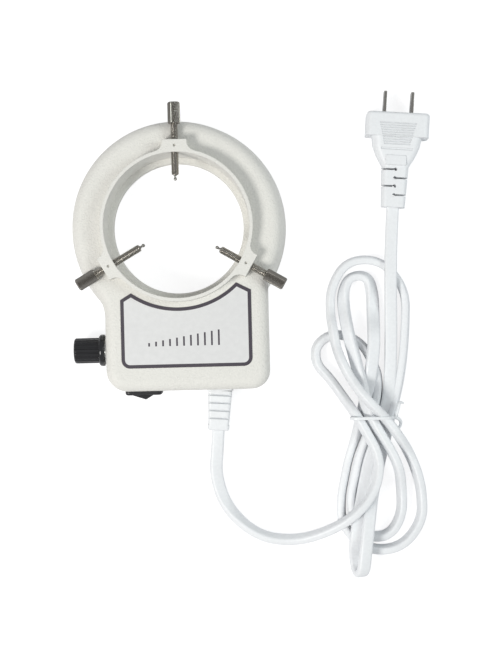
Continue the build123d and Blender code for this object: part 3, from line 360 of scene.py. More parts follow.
@built_once
def moulded_grain(name):
    """Fine grain of a moulded or painted skin: its height, mottled colour and speckles."""
    group, entry, leave = new_group(
        name,
        "ShaderNodeTree",
        (("Scale", "NodeSocketFloat", 1500.0),),
        (
            ("Height", "NodeSocketFloat"),
            ("Mottle", "NodeSocketFloat"),
            ("Speckle", "NodeSocketFloat"),
        ),
    )
    place = object_place(group)
    scale = entry.outputs["Scale"]
    fine = noise(group, place, scale, 2.0)
    cells = add_node(
        group,
        "ShaderNodeTexVoronoi",
        {"Vector": place, "Scale": maths(group, "MULTIPLY", scale, 0.8)},
        feature="SMOOTH_F1",
    ).outputs["Distance"]
    height = maths(group, "SUBTRACT", fine, maths(group, "MULTIPLY", cells, 0.6))
    slow = noise(group, place, maths(group, "MULTIPLY", scale, 0.06), 3.0)
    speckle = add_node(
        group, "ShaderNodeMapRange", {"Value": height, "From Min": -0.15, "From Max": 0.55}
    ).outputs["Result"]
    feed(group, leave, Height=height, Mottle=slow, Speckle=speckle)
    return group


@built_once
def rounded_edges(name):
    """The normal of an edge rounded by a small radius, and a mask of where the edge is worn."""
    group, entry, leave = new_group(
        name,
        "ShaderNodeTree",
        (("Radius", "NodeSocketFloat", 0.3 * MM), ("Patchiness", "NodeSocketFloat", 900.0)),
        (("Normal", "NodeSocketVector"), ("Wear", "NodeSocketFloat")),
    )
    radius = {"Radius": entry.outputs["Radius"]}
    soft = add_node(group, "ShaderNodeBevel", radius, samples=6).outputs["Normal"]
    true = add_node(group, "ShaderNodeNewGeometry").outputs["Normal"]
    facing = vector_maths(group, "DOT_PRODUCT", soft, true)["Value"]
    edge = maths(group, "MULTIPLY", maths(group, "SUBTRACT", 1.0, facing), 6.0)
    patches = noise(group, object_place(group), entry.outputs["Patchiness"], 3.0)
    wear = maths(group, "MULTIPLY", edge, patches, use_clamp=True)
    feed(group, leave, Normal=soft, Wear=wear)
    return group


@built_once
def drawn_lines(name):
    """Long fine lines of turned, drawn or rolled metal: the stretch sets their direction."""
    group, entry, leave = new_group(
        name,
        "ShaderNodeTree",
        (("Stretch", "NodeSocketVector", EVEN), ("Scale", "NodeSocketFloat", 900.0)),
        (("Height", "NodeSocketFloat"),),
    )
    place = vector_maths(group, "MULTIPLY", object_place(group), entry.outputs["Stretch"])
    feed(group, leave, Height=noise(group, place["Vector"], entry.outputs["Scale"], 4.0))
    return group


# ---- finishes


def finish(name, colour, roughness, **principled):
    """A material with its Principled shader, and its constants set on the shader."""
    material = bpy.data.materials.new(name)
    material.use_nodes = True
    shader = material.node_tree.nodes["Principled BSDF"]
    shader.inputs["Base Color"].default_value = (*colour, 1.0)
    shader.inputs["Roughness"].default_value = roughness
    for label, value in principled.items():
        shader.inputs[label.replace("_", " ")].default_value = value
    return material, material.node_tree, shader


def uneven(tree, pattern, roughness, spread):
    """A roughness that a pattern moves by the spread in all."""
    return maths(tree, "ADD", maths(tree, "MULTIPLY", pattern, spread), roughness - spread / 2)


def bump(tree, shader, height, distance, strength, **normal):
    """Gives a shader the normal of bumps, over the normal of rounded edges if there is one."""
    inputs = {"Height": height, "Distance": distance * MM, "Strength": strength, **normal}
    made = add_node(tree, "ShaderNodeBump", inputs)
    feed(tree, shader, Normal=made.outputs["Normal"])


def darker(colour, share):
    return tuple(c * share for c in colour)


def skin(
    name, colour, shade, roughness, grain, depth, edge=0.3, spread=0.12, speckle=0.03
):
    """A moulded or painted finish: two near colours, grain and softly rounded edges."""
    material, tree, shader = finish(name, colour, roughness)
    grained = place_group(tree, moulded_grain(), {"Scale": grain})
    rounded = place_group(tree, rounded_edges(), {"Radius": edge * MM})
    tone = mix_colour(tree, grained["Mottle"], colour, shade)
    dark, light = (1 - speckle,) * 3, (1 + speckle,) * 3
    dots = mix_colour(tree, grained["Speckle"], dark, light)
    tone = mix_colour(tree, 1.0, tone, dots, "MULTIPLY")
    rough = uneven(tree, grained["Mottle"], roughness, spread)
    feed(tree, shader, Base_Color=tone, Roughness=rough)
    bump(tree, shader, grained["Height"], depth, 1.0, Normal=rounded["Normal"])
    return material


def metal(name, colour, worn, roughness, stretch, scale, edge=0.15):
    """A plated or turned metal: drawn lines, uneven roughness and bright worn edges."""
    material, tree, shader = finish(name, colour, roughness, Metallic=1.0)
    lines = place_group(tree, drawn_lines(), {"Stretch": stretch, "Scale": scale})["Height"]
    rounded = place_group(tree, rounded_edges(), {"Radius": edge * MM})
    tone = mix_colour(tree, rounded["Wear"], colour, worn)
    feed(tree, shader, Base_Color=tone, Roughness=uneven(tree, lines, roughness, 0.2))
    bump(tree, shader, lines, 0.004, 0.6, Normal=rounded["Normal"])
    return material


def dress(node, material):
    """Gives a CAD node its finish: the mesh itself stays as it is."""
    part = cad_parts[node]
    if not part.material_slots:
        raise RuntimeError(node + " has no material slot")
    for slot in part.material_slots:
        slot.material = material


# ---- mesh helpers


def mesh_object(name, mesh, sharp):
    """Puts a mesh in the scene, smooth but for edges sharper than the angle in degrees."""
    mesh.polygons.foreach_set("use_smooth", [True] * len(mesh.polygons))
    mesh.set_sharp_from_angle(angle=math.radians(sharp))
    piece = bpy.data.objects.new(name, mesh)
    bpy.context.scene.collection.objects.link(piece)
    return piece


def mesh_piece(name, points, faces, material, sharp=40):
    mesh = bpy.data.meshes.new(name)
    mesh.from_pydata([tuple(p) for p in points], [], faces)
    mesh.update()
    mesh.materials.append(material)
    return mesh_object(name, mesh, sharp)


def grown_piece(name, tree, values, sharp):
    """Runs a Geometry Nodes tree once and keeps its result as a plain mesh."""
    mesh = bpy.data.meshes.new(name + "_seed")
    seed = bpy.data.objects.new(name + "_seed", mesh)
    bpy.context.scene.collection.objects.link(seed)
    modifier = seed.modifiers.new("grow", "NODES")
    modifier.node_group = tree
    sockets = {
        item.name: item.identifier
        for item in tree.interface.items_tree
        if item.item_type == "SOCKET" and item.in_out == "INPUT"
    }
    for label, value in values.items():
        modifier[sockets[label]] = value
    bpy.context.view_layer.update()
    evaluated = seed.evaluated_get(bpy.context.evaluated_depsgraph_get())
    grown = bpy.data.meshes.new_from_object(evaluated)
    grown.name = name
    seed.modifiers.remove(modifier)
    bpy.data.objects.remove(seed)
    return mesh_object(name, grown, sharp)


def rings_to_faces(rings, around):
    """Quads between rings of points that follow each other, with the two ends filled."""
    faces = []
    for ring in range(rings - 1):
        for index in range(around):
            near = ring * around + index
            beside = ring * around + (index + 1) % around
            faces.append((near, beside, beside + around, near + around))
    faces.append(tuple(reversed(range(around))))
    faces.append(tuple(range((rings - 1) * around, rings * around)))
    return faces


def smooth_line(points, steps):
    """Points read from a smooth line that has these points as its control points."""
    curve = bpy.data.curves.new("route", "CURVE")
    curve.dimensions = "3D"
    spline = curve.splines.new("NURBS")
    spline.points.add(len(points) - 1)
    for place, point in zip(points, spline.points):
        point.co = (*place, 1.0)
    spline.order_u = 3
    spline.use_endpoint_u = True
    spline.resolution_u = steps
    carrier = bpy.data.objects.new("route", curve)
    bpy.context.scene.collection.objects.link(carrier)
    bpy.context.view_layer.update()
    evaluated = carrier.evaluated_get(bpy.context.evaluated_depsgraph_get())
    line = bpy.data.meshes.new_from_object(evaluated)
    read = [v.co.copy() for v in line.vertices]
    bpy.data.objects.remove(carrier)
    bpy.data.curves.remove(curve)
    bpy.data.meshes.remove(line)
    spaced = [p for p, after in zip(read, read[1:]) if (p - after).length > DOUBLED]
    return spaced + read[-1:]


def directions(points):
    befores = [points[0], *points[:-1]]
    afters = [*points[1:], points[-1]]
    return [(after - before).normalized() for before, after in zip(befores, afters)]


def carried_frames(points, start):
    """Tangents with a side direction carried along the line without turning about it."""
    ways = directions(points)
    side = (start - ways[0] * start.dot(ways[0])).normalized()
    sides = [side]
    for before, after in zip(ways, ways[1:]):
        side = before.rotation_difference(after) @ side
        side = (side - after * side.dot(after)).normalized()
        sides.append(side)
    return ways, sides


def ease(share):
    return share * share * (3 - 2 * share)


def lay_angles(ways, sides, keys):
    """The turn of the cord's wide side at each point, eased between the first and last key."""
    up = Vector((0, 0, 1))
    known = []
    last = 0.0
    for index, tilt in keys:
        way, side = ways[index], sides[index]
        level = way.cross(up).normalized()
        raised = (up - way * way.z).normalized()
        tilt = math.radians(tilt)
        wide = level * math.cos(tilt) + raised * math.sin(tilt)
        angle = math.atan2(wide.dot(way.cross(side)), wide.dot(side))
        last = angle + math.pi * round((last - angle) / math.pi)
        known.append((index, last))
    angles = []
    for (first, start), (after, end) in zip(known, known[1:]):
        for index in range(first, after):
            angles.append(start + (end - start) * ease((index - first) / (after - first)))
    return [*angles, last]


def tube_mesh(points, ways, wides, section):
    """Vertices of a section carried along a line; the section is given across and along wide."""
    verts = []
    for point, way, wide in zip(points, ways, wides):
        thin = way.cross(wide)
        verts += [point + wide * x + thin * y for x, y in section]
    return verts


def flat_section(width, thickness, corner, count):
    """A flat cord's section: a rectangle with round corners of count points each."""
    section = []
    for right, up, first in ((1, -1, -90), (1, 1, 0), (-1, 1, 90), (-1, -1, 180)):
        x, y = right * (width / 2 - corner), up * (thickness / 2 - corner)
        for i in range(count):
            turn = math.radians(first + 90 * i / (count - 1))
            section.append((x + corner * math.cos(turn), y + corner * math.sin(turn)))
    return section


# ---- geometry node helpers


def moved(tree, shape, **inputs):
    return add_node(tree, "GeometryNodeTransform", {"Geometry": shape, **inputs}).outputs[0]


def cylinder(tree, around, radius, length, middle, segments=1):
    """A cylinder along Z with its middle at a height."""
    inputs = {
        "Vertices": around,
        "Side Segments": segments,
        "Radius": radius,
        "Depth": length,
    }
    bar = add_node(tree, "GeometryNodeMeshCylinder", inputs).outputs["Mesh"]
    return moved(tree, bar, Translation=upward(tree, middle))


def joined(tree, shapes):
    join = tree.nodes.new("GeometryNodeJoinGeometry")
    for shape in shapes:
        tree.links.new(shape, join.inputs[0])
    return join.outputs[0]


def end_tree(tree, entry, leave, shape):
    """Ends a tree with real geometry in the finish that it was given."""
    real = add_node(tree, "GeometryNodeRealizeInstances", {"Geometry": shape}).outputs[0]
    inputs = {"Geometry": real, "Material": entry.outputs["Finish"]}
    coated = add_node(tree, "GeometryNodeSetMaterial", inputs).outputs[0]
    tree.links.new(coated, leave.inputs[0])


# ---- sizes and colours that a user would change


def number_setting(name, description, default, **kind):
    return bpy.props.FloatProperty(name=name, description=description, default=default, **kind)


def length_setting(name, description, default):
    return number_setting(name, description, default, unit="LENGTH")


def count_setting(name, description, default):
    return bpy.props.IntProperty(name=name, description=description, default=default)


def colour_setting(description, default):
    return bpy.props.FloatVectorProperty(
        name="Colour", description=description, default=default, subtype="COLOR"
    )


class RingLightCord(bpy.types.PropertyGroup):
    width: length_setting("Width", "Width of the flat twin cord", 5.8 * MM)
    thickness: length_setting("Thickness", "Thickness of the flat twin cord", 3.6 * MM)
    corner: length_setting("Corner", "Radius of the cord's long edges", 1.15 * MM)
    colour: colour_setting(
        "Colour of the cord, the plug and the strain relief", (0.84, 0.855, 0.875)
    )


class RingLightHousing(bpy.types.PropertyGroup):
    colour: colour_setting("Colour of the cast housing", (0.775, 0.765, 0.725))
    grain: number_setting("Grain", "Grains per metre of the sand texture", 1500.0)
    border: length_setting("Label border", "Width of the dark border of the label", 1.6 * MM)


class RingLightLamps(bpy.types.PropertyGroup):
    rows: count_setting("Rows", "Rows of lamps round the bore", 3)
    lamps: count_setting("Lamps in a row", "Lamps in each row", 48)
    radius: length_setting("Lamp radius", "Radius of a lamp's body", 2.0 * MM)


class RingLightScrews(bpy.types.PropertyGroup):
    teeth: count_setting("Knurl teeth", "Teeth round a thumbscrew's head", 26)
    pitch: length_setting("Thread pitch", "Pitch of a thumbscrew's thread", 0.7 * MM)


class RingLightStage(bpy.types.PropertyGroup):
    height: length_setting("Camera height", "Height of the camera above the table", 0.680)
    key: number_setting("Key lamp", "Power of the main lamp in watts", 6.0)
    fill: number_setting("Room light", "Strength of the light from all round", 0.44)


# ---- operators


class RINGLIGHT_OT_stage(bpy.types.Operator):
    """Makes the camera, the floor and the lights"""

    bl_idname = "ringlight.stage"
    bl_label = "Stage"

    def execute(self, context):
        scene = context.scene
        settings = scene.ring_light_stage
        scene.view_settings.view_transform = "Standard"

        camera_data = bpy.data.cameras.new("camera")
        camera_data.sensor_width = SENSOR
        camera_data.lens = FOCAL_PIXELS / PICTURE_HEIGHT * SENSOR
        camera_data.clip_start = 0.05
        camera_data.clip_end = 20.0
        camera = bpy.data.objects.new("camera", camera_data)
        camera.location = (*CAMERA_PLACE, settings.height)
        camera.rotation_euler = (0.0, 0.0, math.radians(CAMERA_ROLL))
        scene.collection.objects.link(camera)
        scene.camera = camera

        corners = [(-1, -1), (1, -1), (1, 1), (-1, 1)]
        floor = mesh_piece(
            "floor",
            [(x * FLOOR_HALF, y * FLOOR_HALF, 0.0) for x, y in corners],
            [(0, 1, 2, 3)],
            self.floor_finish(),
        )

        world = bpy.data.worlds.new("room")
        scene.world = world
        world.use_nodes = True
        tree = world.node_tree
        tree.nodes.clear()
        mix = {0: self.seen_rays(tree), 2: settings.fill, 3: 1.0}
        strength = add_node(tree, "ShaderNodeMix", mix, data_type="FLOAT").outputs[0]
        inputs = {"Color": (0.97, 0.985, 1.0, 1.0), "Strength": strength}
        back = add_node(tree, "ShaderNodeBackground", inputs)
        feed(tree, tree.nodes.new("ShaderNodeOutputWorld"), Surface=back.outputs[0])

        key, fill = settings.key, settings.key * FILL_SHARE
        self.lamp("key_lamp", (-0.52, -0.36, 0.80), 0.32, key, (1.0, 0.985, 0.95))
        self.lamp("fill_lamp", (0.72, 0.10, 0.66), 0.40, fill, (0.93, 1.0, 0.985))
        return {"FINISHED"}

    def seen_rays(self, tree):
        """1 for what the camera sees straight on or through glass."""
        rays = add_node(tree, "ShaderNodeLightPath").outputs
        return maths(tree, "MAXIMUM", rays["Is Camera Ray"], rays["Is Transmission Ray"])

    def floor_finish(self):
        """A table that renders white, keeps the shadow, and lights the object as a pale one."""
        material = bpy.data.materials.new("white_table")
        material.use_nodes = True
        tree = material.node_tree
        tree.nodes.clear()
        seen = self.seen_rays(tree)
        white = mix_colour(tree, seen, (0.80, 0.80, 0.82), (0.38, 0.38, 0.39))
        plain = add_node(tree, "ShaderNodeBsdfDiffuse", {"Color": white})
        strength = maths(tree, "MULTIPLY", seen, 0.79)
        inputs = {"Color": (1.0, 1.0, 1.0, 1.0), "Strength": strength}
        glow = add_node(tree, "ShaderNodeEmission", inputs)
        both = add_node(tree, "ShaderNodeAddShader", {0: plain.outputs[0], 1: glow.outputs[0]})
        feed(tree, tree.nodes.new("ShaderNodeOutputMaterial"), Surface=both.outputs[0])
        return material

    def lamp(self, name, place, size, power, colour):
        data = bpy.data.lights.new(name, "AREA")
        data.shape = "DISK"
        data.size = size
        data.energy = power
        data.color = colour
        lamp = bpy.data.objects.new(name, data)
        lamp.location = place
        aim = Vector(LAMP_AIM) - Vector(place)
        lamp.rotation_euler = aim.to_track_quat("-Z", "Y").to_euler()
        bpy.context.scene.collection.objects.link(lamp)


class RINGLIGHT_OT_cord(bpy.types.Operator):
    """Makes the flat twin cord along its route, with its hank, tie, strain relief and plug"""

    bl_idname = "ringlight.cord"
    bl_label = "Cord"

    def execute(self, context):
        settings = context.scene.ring_light_cord
        white = tuple(settings.colour)
        soft = skin("cord_pvc", white, darker(white, 0.97), 0.42, 900.0, 0.015, edge=0.2)
        route = [CORD_EXIT, *CORD_TO_HANK, *CORD_HANK, *CORD_TO_PLUG, CORD_END]
        line = smooth_line(route, CORD_STEPS)
        keys = []
        for number, tilt in CORD_LAY:
            share = min(max(number - 0.5, 0.0) / (len(route) - 2), 1.0)
            keys.append((round(share * (len(line) - 1)), tilt))
        ways, sides = carried_frames(line, Vector((1, 0, 0)))
        wides = [
            side * math.cos(angle) + way.cross(side) * math.sin(angle)
            for way, side, angle in zip(ways, sides, lay_angles(ways, sides, keys))
        ]
        section = flat_section(settings.width, settings.thickness, settings.corner, 5)
        verts = tube_mesh(line, ways, wides, section)
        faces = rings_to_faces(len(line), len(section))
        cord = mesh_piece("twin_cord", verts, faces, soft, 80)
        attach(cord, "housing")
        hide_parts("cord_light_run", "cord_hank", "cord_plug_run")
        for node, name in (("strain_relief", "relief_pvc"), ("plug_body", "plug_pvc")):
            dress(node, skin(name, white, darker(white, 0.96), 0.45, 1100.0, 0.02, edge=0.5))
        dress(
            "plug_blades",
            metal("blade_plate", (0.36, 0.345, 0.32), (0.62, 0.60, 0.55), 0.26, ALONG_Y, 900.0),
        )
        tie = self.tie(
            skin("tie_coat", (0.84, 0.86, 0.88), (0.78, 0.80, 0.82), 0.34, 1400.0, 0.02)
        )
        return {"FINISHED"}

    def tie(self, material):
        """The coated wire round the waist: a closed loop and its two tails."""
        x, y = TIE_PLACE
        ring = [Vector((x + across, y, height)) for across, height in TIE_OUTLINE]
        corners = []
        for index, corner in enumerate(ring):
            for beside in (ring[index - 1], ring[(index + 1) % len(ring)]):
                corners.append(corner + (beside - corner).normalized() * TIE_ROUNDING)
        start = (corners[0] + corners[-1]) / 2
        lines = [smooth_line([start, *corners, start], TIE_STEPS)]
        for tail in TIE_TAILS:
            lines.append(smooth_line([(x + a, y + b, c) for a, b, c in tail], TIE_STEPS))
        verts, faces = [], []
        section = flat_section(TIE_WIDTH, TIE_THICKNESS, TIE_CORNER, 4)
        for line in lines:
            ways, sides = carried_frames(line, Vector((0, 1, 0)))
            first = len(verts)
            verts += tube_mesh(line, ways, sides, section)
            for face in rings_to_faces(len(line), len(section)):
                faces.append(tuple(first + number for number in face))
        tie = mesh_piece("wire_tie", verts, faces, material, 50)
        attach(tie, "housing")
        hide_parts("hank_tie")
        return tie


class RINGLIGHT_OT_housing(bpy.types.Operator):
    """Finishes the housing, its base plate, cover and label, and prints the label"""

    bl_idname = "ringlight.housing"
    bl_label = "Housing"

    def execute(self, context):
        settings = context.scene.ring_light_housing
        cream = tuple(settings.colour)
        shade = darker(cream, 0.955)
        dress(
            "ring_housing",
            skin(
                "cast_housing", cream, shade, 0.58, settings.grain, 0.24, 0.45, speckle=0.045
            ),
        )
        dress(
            "base_plate",
            skin("base_black", (0.03, 0.03, 0.032), (0.045, 0.045, 0.047), 0.5, 1200.0, 0.04),
        )
        material, tree, shader = finish(
            "clear_cover", (0.96, 0.97, 0.96), 0.06, Transmission_Weight=1.0, IOR=1.49
        )
        grained = place_group(tree, moulded_grain(), {"Scale": 300.0})
        bump(tree, shader, grained["Height"], 0.01, 0.3)
        dress("lens_cover", material)
        dress("base_plate_screws", metal("bright_zinc", ZINC, WORN_ZINC, 0.3, ALONG_Z, 900.0))
        dress(
            "label_plate",
            skin("label_film", (0.73, 0.73, 0.73), (0.71, 0.71, 0.712), 0.38, 500.0, 0.012, 0.1),
        )
        self.label_print(settings.border)
        return {"FINISHED"}

    def label_print(self, width):
        """The dark border along the label's outline, and a plain scale of rising strokes."""
        outline, inner = self.outline(0.0), self.outline(width)
        low, high = LABEL_TOP, LABEL_TOP + INK_THICKNESS
        rings = ((outline, low), (outline, high), (inner, high), (inner, low))
        verts = [(x, y, z) for ring, z in rings for x, y in ring]
        count = len(outline)
        faces = []
        for ring in range(len(rings)):
            here, there = ring * count, (ring + 1) % len(rings) * count
            for i in range(count):
                j = (i + 1) % count
                faces.append((here + i, here + j, there + j, there + i))
        for number in range(STROKES):
            middle = STROKE_MIDDLE + (number - STROKES // 2) * STROKE_PITCH
            left, right = middle - STROKE_WIDTH / 2, middle + STROKE_WIDTH / 2
            end = STROKE_FOOT + SHORTEST_STROKE + number * STROKE_RISE
            first = len(verts)
            for z in (low, high):
                verts += [(left, STROKE_FOOT, z), (right, STROKE_FOOT, z)]
                verts += [(right, end, z), (left, end, z)]
            faces += [tuple(first + corner for corner in face) for face in BOX_FACES]
        ink = skin("label_ink", (0.055, 0.045, 0.06), (0.07, 0.06, 0.075), 0.4, 700.0, 0.01, 0.05)
        border = mesh_piece("label_border", verts, faces, ink, 30)
        repair = bmesh.new()
        repair.from_mesh(border.data)
        bmesh.ops.recalc_face_normals(repair, faces=repair.faces)
        repair.to_mesh(border.data)
        repair.free()
        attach(border, "housing")

    def outline(self, inset):
        """The label's outline moved inwards: arc, two peaks, straight sides, round corners."""
        arc, corner = LABEL_ARC + inset, LABEL_CORNER - inset
        left, right = LABEL_LEFT + inset, LABEL_RIGHT - inset
        front = LABEL_FRONT + inset
        slope_left = self.slope(LABEL_SHOULDERS[0], LABEL_PEAKS[0], inset)
        slope_right = self.slope(LABEL_PEAKS[1], LABEL_SHOULDERS[1], inset)
        start = self.meet_arc(slope_left, arc, min)
        end = self.meet_arc(slope_right, arc, max)
        a0, a1 = math.atan2(start[1], start[0]), math.atan2(end[1], end[0])
        points = []
        for i in range(ARC_STEPS + 1):
            turn = a0 + (a1 - a0) * i / ARC_STEPS
            points.append((arc * math.cos(turn), arc * math.sin(turn)))
        points.append((right, self.height_at(slope_right, right)))
        for centre, first in ((right - corner, 0), (left + corner, -90)):
            for i in range(CORNER_STEPS + 1):
                turn = math.radians(first - 90 * i / CORNER_STEPS)
                y = front + corner + corner * math.sin(turn)
                points.append((centre + corner * math.cos(turn), y))
        points.append((left, self.height_at(slope_left, left)))
        return points

    def slope(self, first, second, inset):
        """A line through two points, moved down by the inset: a point on it and its direction."""
        way = Vector((second[0] - first[0], second[1] - first[1])).normalized()
        down = Vector((way.y, -way.x))
        return Vector(first) + down * inset, way

    def height_at(self, line, x):
        point, way = line
        return point.y + way.y / way.x * (x - point.x)

    def meet_arc(self, line, radius, pick):
        """Where a line crosses a circle round the bore: pick takes the left or right crossing."""
        point, way = line
        along = point.dot(way)
        reach = math.sqrt(along * along - point.dot(point) + radius * radius)
        crossings = [point + way * (-along + reach), point + way * (-along - reach)]
        return pick(crossings, key=lambda p: p.x)


class RINGLIGHT_OT_lamps(bpy.types.Operator):
    """Makes the three rows of lamps under the clear cover"""

    bl_idname = "ringlight.lamps"
    bl_label = "Lamps"

    def execute(self, context):
        settings = context.scene.ring_light_lamps
        clear = (0.93, 0.94, 0.90)
        material, tree, shader = finish(
            "lamp_dome", clear, 0.12, Transmission_Weight=0.55, IOR=1.5
        )
        grained = place_group(tree, moulded_grain(), {"Scale": 700.0})
        warm = mix_colour(tree, grained["Mottle"], clear, (0.90, 0.90, 0.80))
        feed(tree, shader, Base_Color=warm)
        lamps = self.rows(settings, material)
        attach(lamps, "housing")
        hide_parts("leds_inner", "leds_middle", "leds_outer")
        dress(
            "led_board",
            skin("lamp_board_white", (0.80, 0.80, 0.78), (0.77, 0.77, 0.75), 0.4, 900.0, 0.02),
        )
        return {"FINISHED"}

    def rows(self, settings, material):
        """Rows of lamps that hang from the board: a flange, a straight body and a dome each."""
        tree, entry, leave = new_group(
            "lamp_rows",
            "GeometryNodeTree",
            (
                ("First Row Radius", "NodeSocketFloat", 37.3 * MM),
                ("Row Pitch", "NodeSocketFloat", 3.9 * MM),
                ("Lamps in a Row", "NodeSocketInt", 48),
                ("Lamp Radius", "NodeSocketFloat", 2.0 * MM),
                ("Lamp Length", "NodeSocketFloat", 4.5 * MM),
                ("Board Height", "NodeSocketFloat", 6.5 * MM),
                ("Finish", "NodeSocketMaterial", None),
            ),
            (("Geometry", "NodeSocketGeometry"),),
        )
        inputs = entry.outputs
        radius, count = inputs["Lamp Radius"], inputs["Lamps in a Row"]
        straight = maths(tree, "SUBTRACT", inputs["Lamp Length"], radius)
        body = cylinder(tree, 16, radius, straight, maths(tree, "MULTIPLY", straight, -0.5))
        ball = {"Segments": 16, "Rings": 8, "Radius": radius}
        dome = add_node(tree, "GeometryNodeMeshUVSphere", ball).outputs["Mesh"]
        low = upward(tree, maths(tree, "MULTIPLY", straight, -1.0))
        dome = moved(tree, dome, Translation=low)
        flange = cylinder(
            tree,
            16,
            maths(tree, "MULTIPLY", radius, 1.12),
            maths(tree, "MULTIPLY", radius, 0.4),
            maths(tree, "MULTIPLY", radius, -0.22),
        )
        lamp = joined(tree, (flange, dome, body))
        made = []
        for row in range(settings.rows):
            shift = maths(tree, "MULTIPLY", inputs["Row Pitch"], float(row))
            circle = {
                "Vertices": count,
                "Radius": maths(tree, "ADD", inputs["First Row Radius"], shift),
            }
            half_pitch = maths(tree, "DIVIDE", math.pi * (row % 2), count)
            places = moved(
                tree,
                add_node(tree, "GeometryNodeMeshCircle", circle).outputs["Mesh"],
                Translation=upward(tree, inputs["Board Height"]),
                Rotation=upward(tree, half_pitch),
            )
            on_places = {"Points": places, "Instance": lamp}
            made.append(add_node(tree, "GeometryNodeInstanceOnPoints", on_places).outputs[0])
        end_tree(tree, entry, leave, joined(tree, made))
        values = {
            "Lamps in a Row": settings.lamps,
            "Lamp Radius": settings.radius,
            "Finish": material,
        }
        return grown_piece("lamp_domes", tree, values, 50)


class RINGLIGHT_OT_screws(bpy.types.Operator):
    """Makes the three knurled and threaded thumbscrews and finishes their tips"""

    bl_idname = "ringlight.screws"
    bl_label = "Thumbscrews"

    def execute(self, context):
        settings = context.scene.ring_light_screws
        dark = metal(
            "screw_nickel", (0.34, 0.32, 0.29), (0.66, 0.64, 0.60), 0.22, EVEN, 1500.0, 0.08
        )
        tip = metal(
            "tip_nickel", (0.34, 0.33, 0.31), (0.6, 0.59, 0.56), 0.24, EVEN, 1500.0, 0.08
        )
        tree = self.screw_tree()
        for name, angle, turned_in in zip(SCREW_NAMES, SCREW_ANGLES, SCREWED_IN):
            values = {
                "Lug Angle": math.radians(angle),
                "Head Start": HEAD_START - turned_in,
                "Shank Start": SHANK_START - turned_in,
                "Knurl Teeth": float(settings.teeth),
                "Thread Pitch": settings.pitch,
                "Finish": dark,
            }
            screw = grown_piece("knurled_screw_" + name, tree, values, 28)
            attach(screw, "screw_" + name)
            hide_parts("thumbscrew_" + name)
            dress("tip_pin_" + name, tip)
        return {"FINISHED"}

    def screw_tree(self):
        """Head with a straight knurl and shank with a helical thread, along a lug's direction."""
        tree, entry, leave = new_group(
            "knurled_screw",
            "GeometryNodeTree",
            (
                ("Lug Angle", "NodeSocketFloat", 0.0),
                ("Axis Height", "NodeSocketFloat", 24.6 * MM),
                ("Head Start", "NodeSocketFloat", HEAD_START),
                ("Head Length", "NodeSocketFloat", 10.0 * MM),
                ("Head Radius", "NodeSocketFloat", 2.9 * MM),
                ("Head Chamfer", "NodeSocketFloat", 0.5 * MM),
                ("Knurl Depth", "NodeSocketFloat", 0.36 * MM),
                ("Knurl Teeth", "NodeSocketFloat", 26.0),
                ("Shank Start", "NodeSocketFloat", SHANK_START),
                ("Thread Radius", "NodeSocketFloat", 1.8 * MM),
                ("Thread Depth", "NodeSocketFloat", 0.28 * MM),
                ("Thread Pitch", "NodeSocketFloat", 0.7 * MM),
                ("Finish", "NodeSocketMaterial", None),
            ),
            (("Geometry", "NodeSocketGeometry"),),
        )
        inputs = entry.outputs
        start, length, radius = (inputs["Head " + size] for size in ("Start", "Length", "Radius"))
        head = self.turned(tree, start, length, radius, *HEAD_DIVISIONS)
        chamfer = inputs["Head Chamfer"]
        ribs = self.ribs(tree, inputs)
        head = self.carve(tree, head, radius, ribs, inputs["Knurl Depth"], start, length, chamfer)
        start, radius = inputs["Shank Start"], inputs["Thread Radius"]
        length = maths(tree, "SUBTRACT", inputs["Head Start"], start)
        shank = self.turned(tree, start, length, radius, *SHANK_DIVISIONS)
        # The shank's far end is hidden in the head, so only its near end is chamfered
        length = maths(tree, "ADD", length, 1 * MM)
        chamfer = maths(tree, "MULTIPLY", chamfer, 0.8)
        thread = self.helix(tree, inputs)
        depth = inputs["Thread Depth"]
        shank = self.carve(tree, shank, radius, thread, depth, start, length, chamfer)
        # From lying along Z to lying along the lug's direction at the axis height
        level = moved(tree, joined(tree, (head, shank)), Rotation=(0.0, math.pi / 2, 0.0))
        placed = moved(
            tree,
            level,
            Rotation=upward(tree, inputs["Lug Angle"]),
            Translation=upward(tree, inputs["Axis Height"]),
        )
        end_tree(tree, entry, leave, placed)
        return tree

    def turned(self, tree, start, length, radius, around, along):
        """A plain cylinder along Z from start, finely divided."""
        middle = maths(tree, "ADD", start, maths(tree, "MULTIPLY", length, 0.5))
        return cylinder(tree, around, radius, length, middle, along)

    def place_parts(self, tree):
        """A point's X, Y and Z."""
        where = add_node(tree, "GeometryNodeInputPosition").outputs[0]
        return add_node(tree, "ShaderNodeSeparateXYZ", {0: where}).outputs

    def turns(self, tree, x, y):
        """How far round the axis a point lies, in whole turns."""
        return maths(tree, "DIVIDE", maths(tree, "ARCTAN2", y, x), 2 * math.pi)

    def wave(self, tree, value):
        """A triangle wave of height 1 over each whole number."""
        saw = maths(tree, "FRACT", maths(tree, "ADD", value, 100.0))
        rise = maths(tree, "ABSOLUTE", maths(tree, "SUBTRACT", saw, 0.5))
        return maths(tree, "MULTIPLY", rise, 2.0)

    def ribs(self, tree, inputs):
        """The height of the knurl's straight teeth."""
        x, y, _ = self.place_parts(tree)
        turns = self.turns(tree, x, y)
        return self.wave(tree, maths(tree, "MULTIPLY", turns, inputs["Knurl Teeth"]))

    def helix(self, tree, inputs):
        """The height of the thread, which climbs one pitch in each turn."""
        x, y, along = self.place_parts(tree)
        pitches = maths(tree, "DIVIDE", along, inputs["Thread Pitch"])
        return self.wave(tree, maths(tree, "SUBTRACT", pitches, self.turns(tree, x, y)))

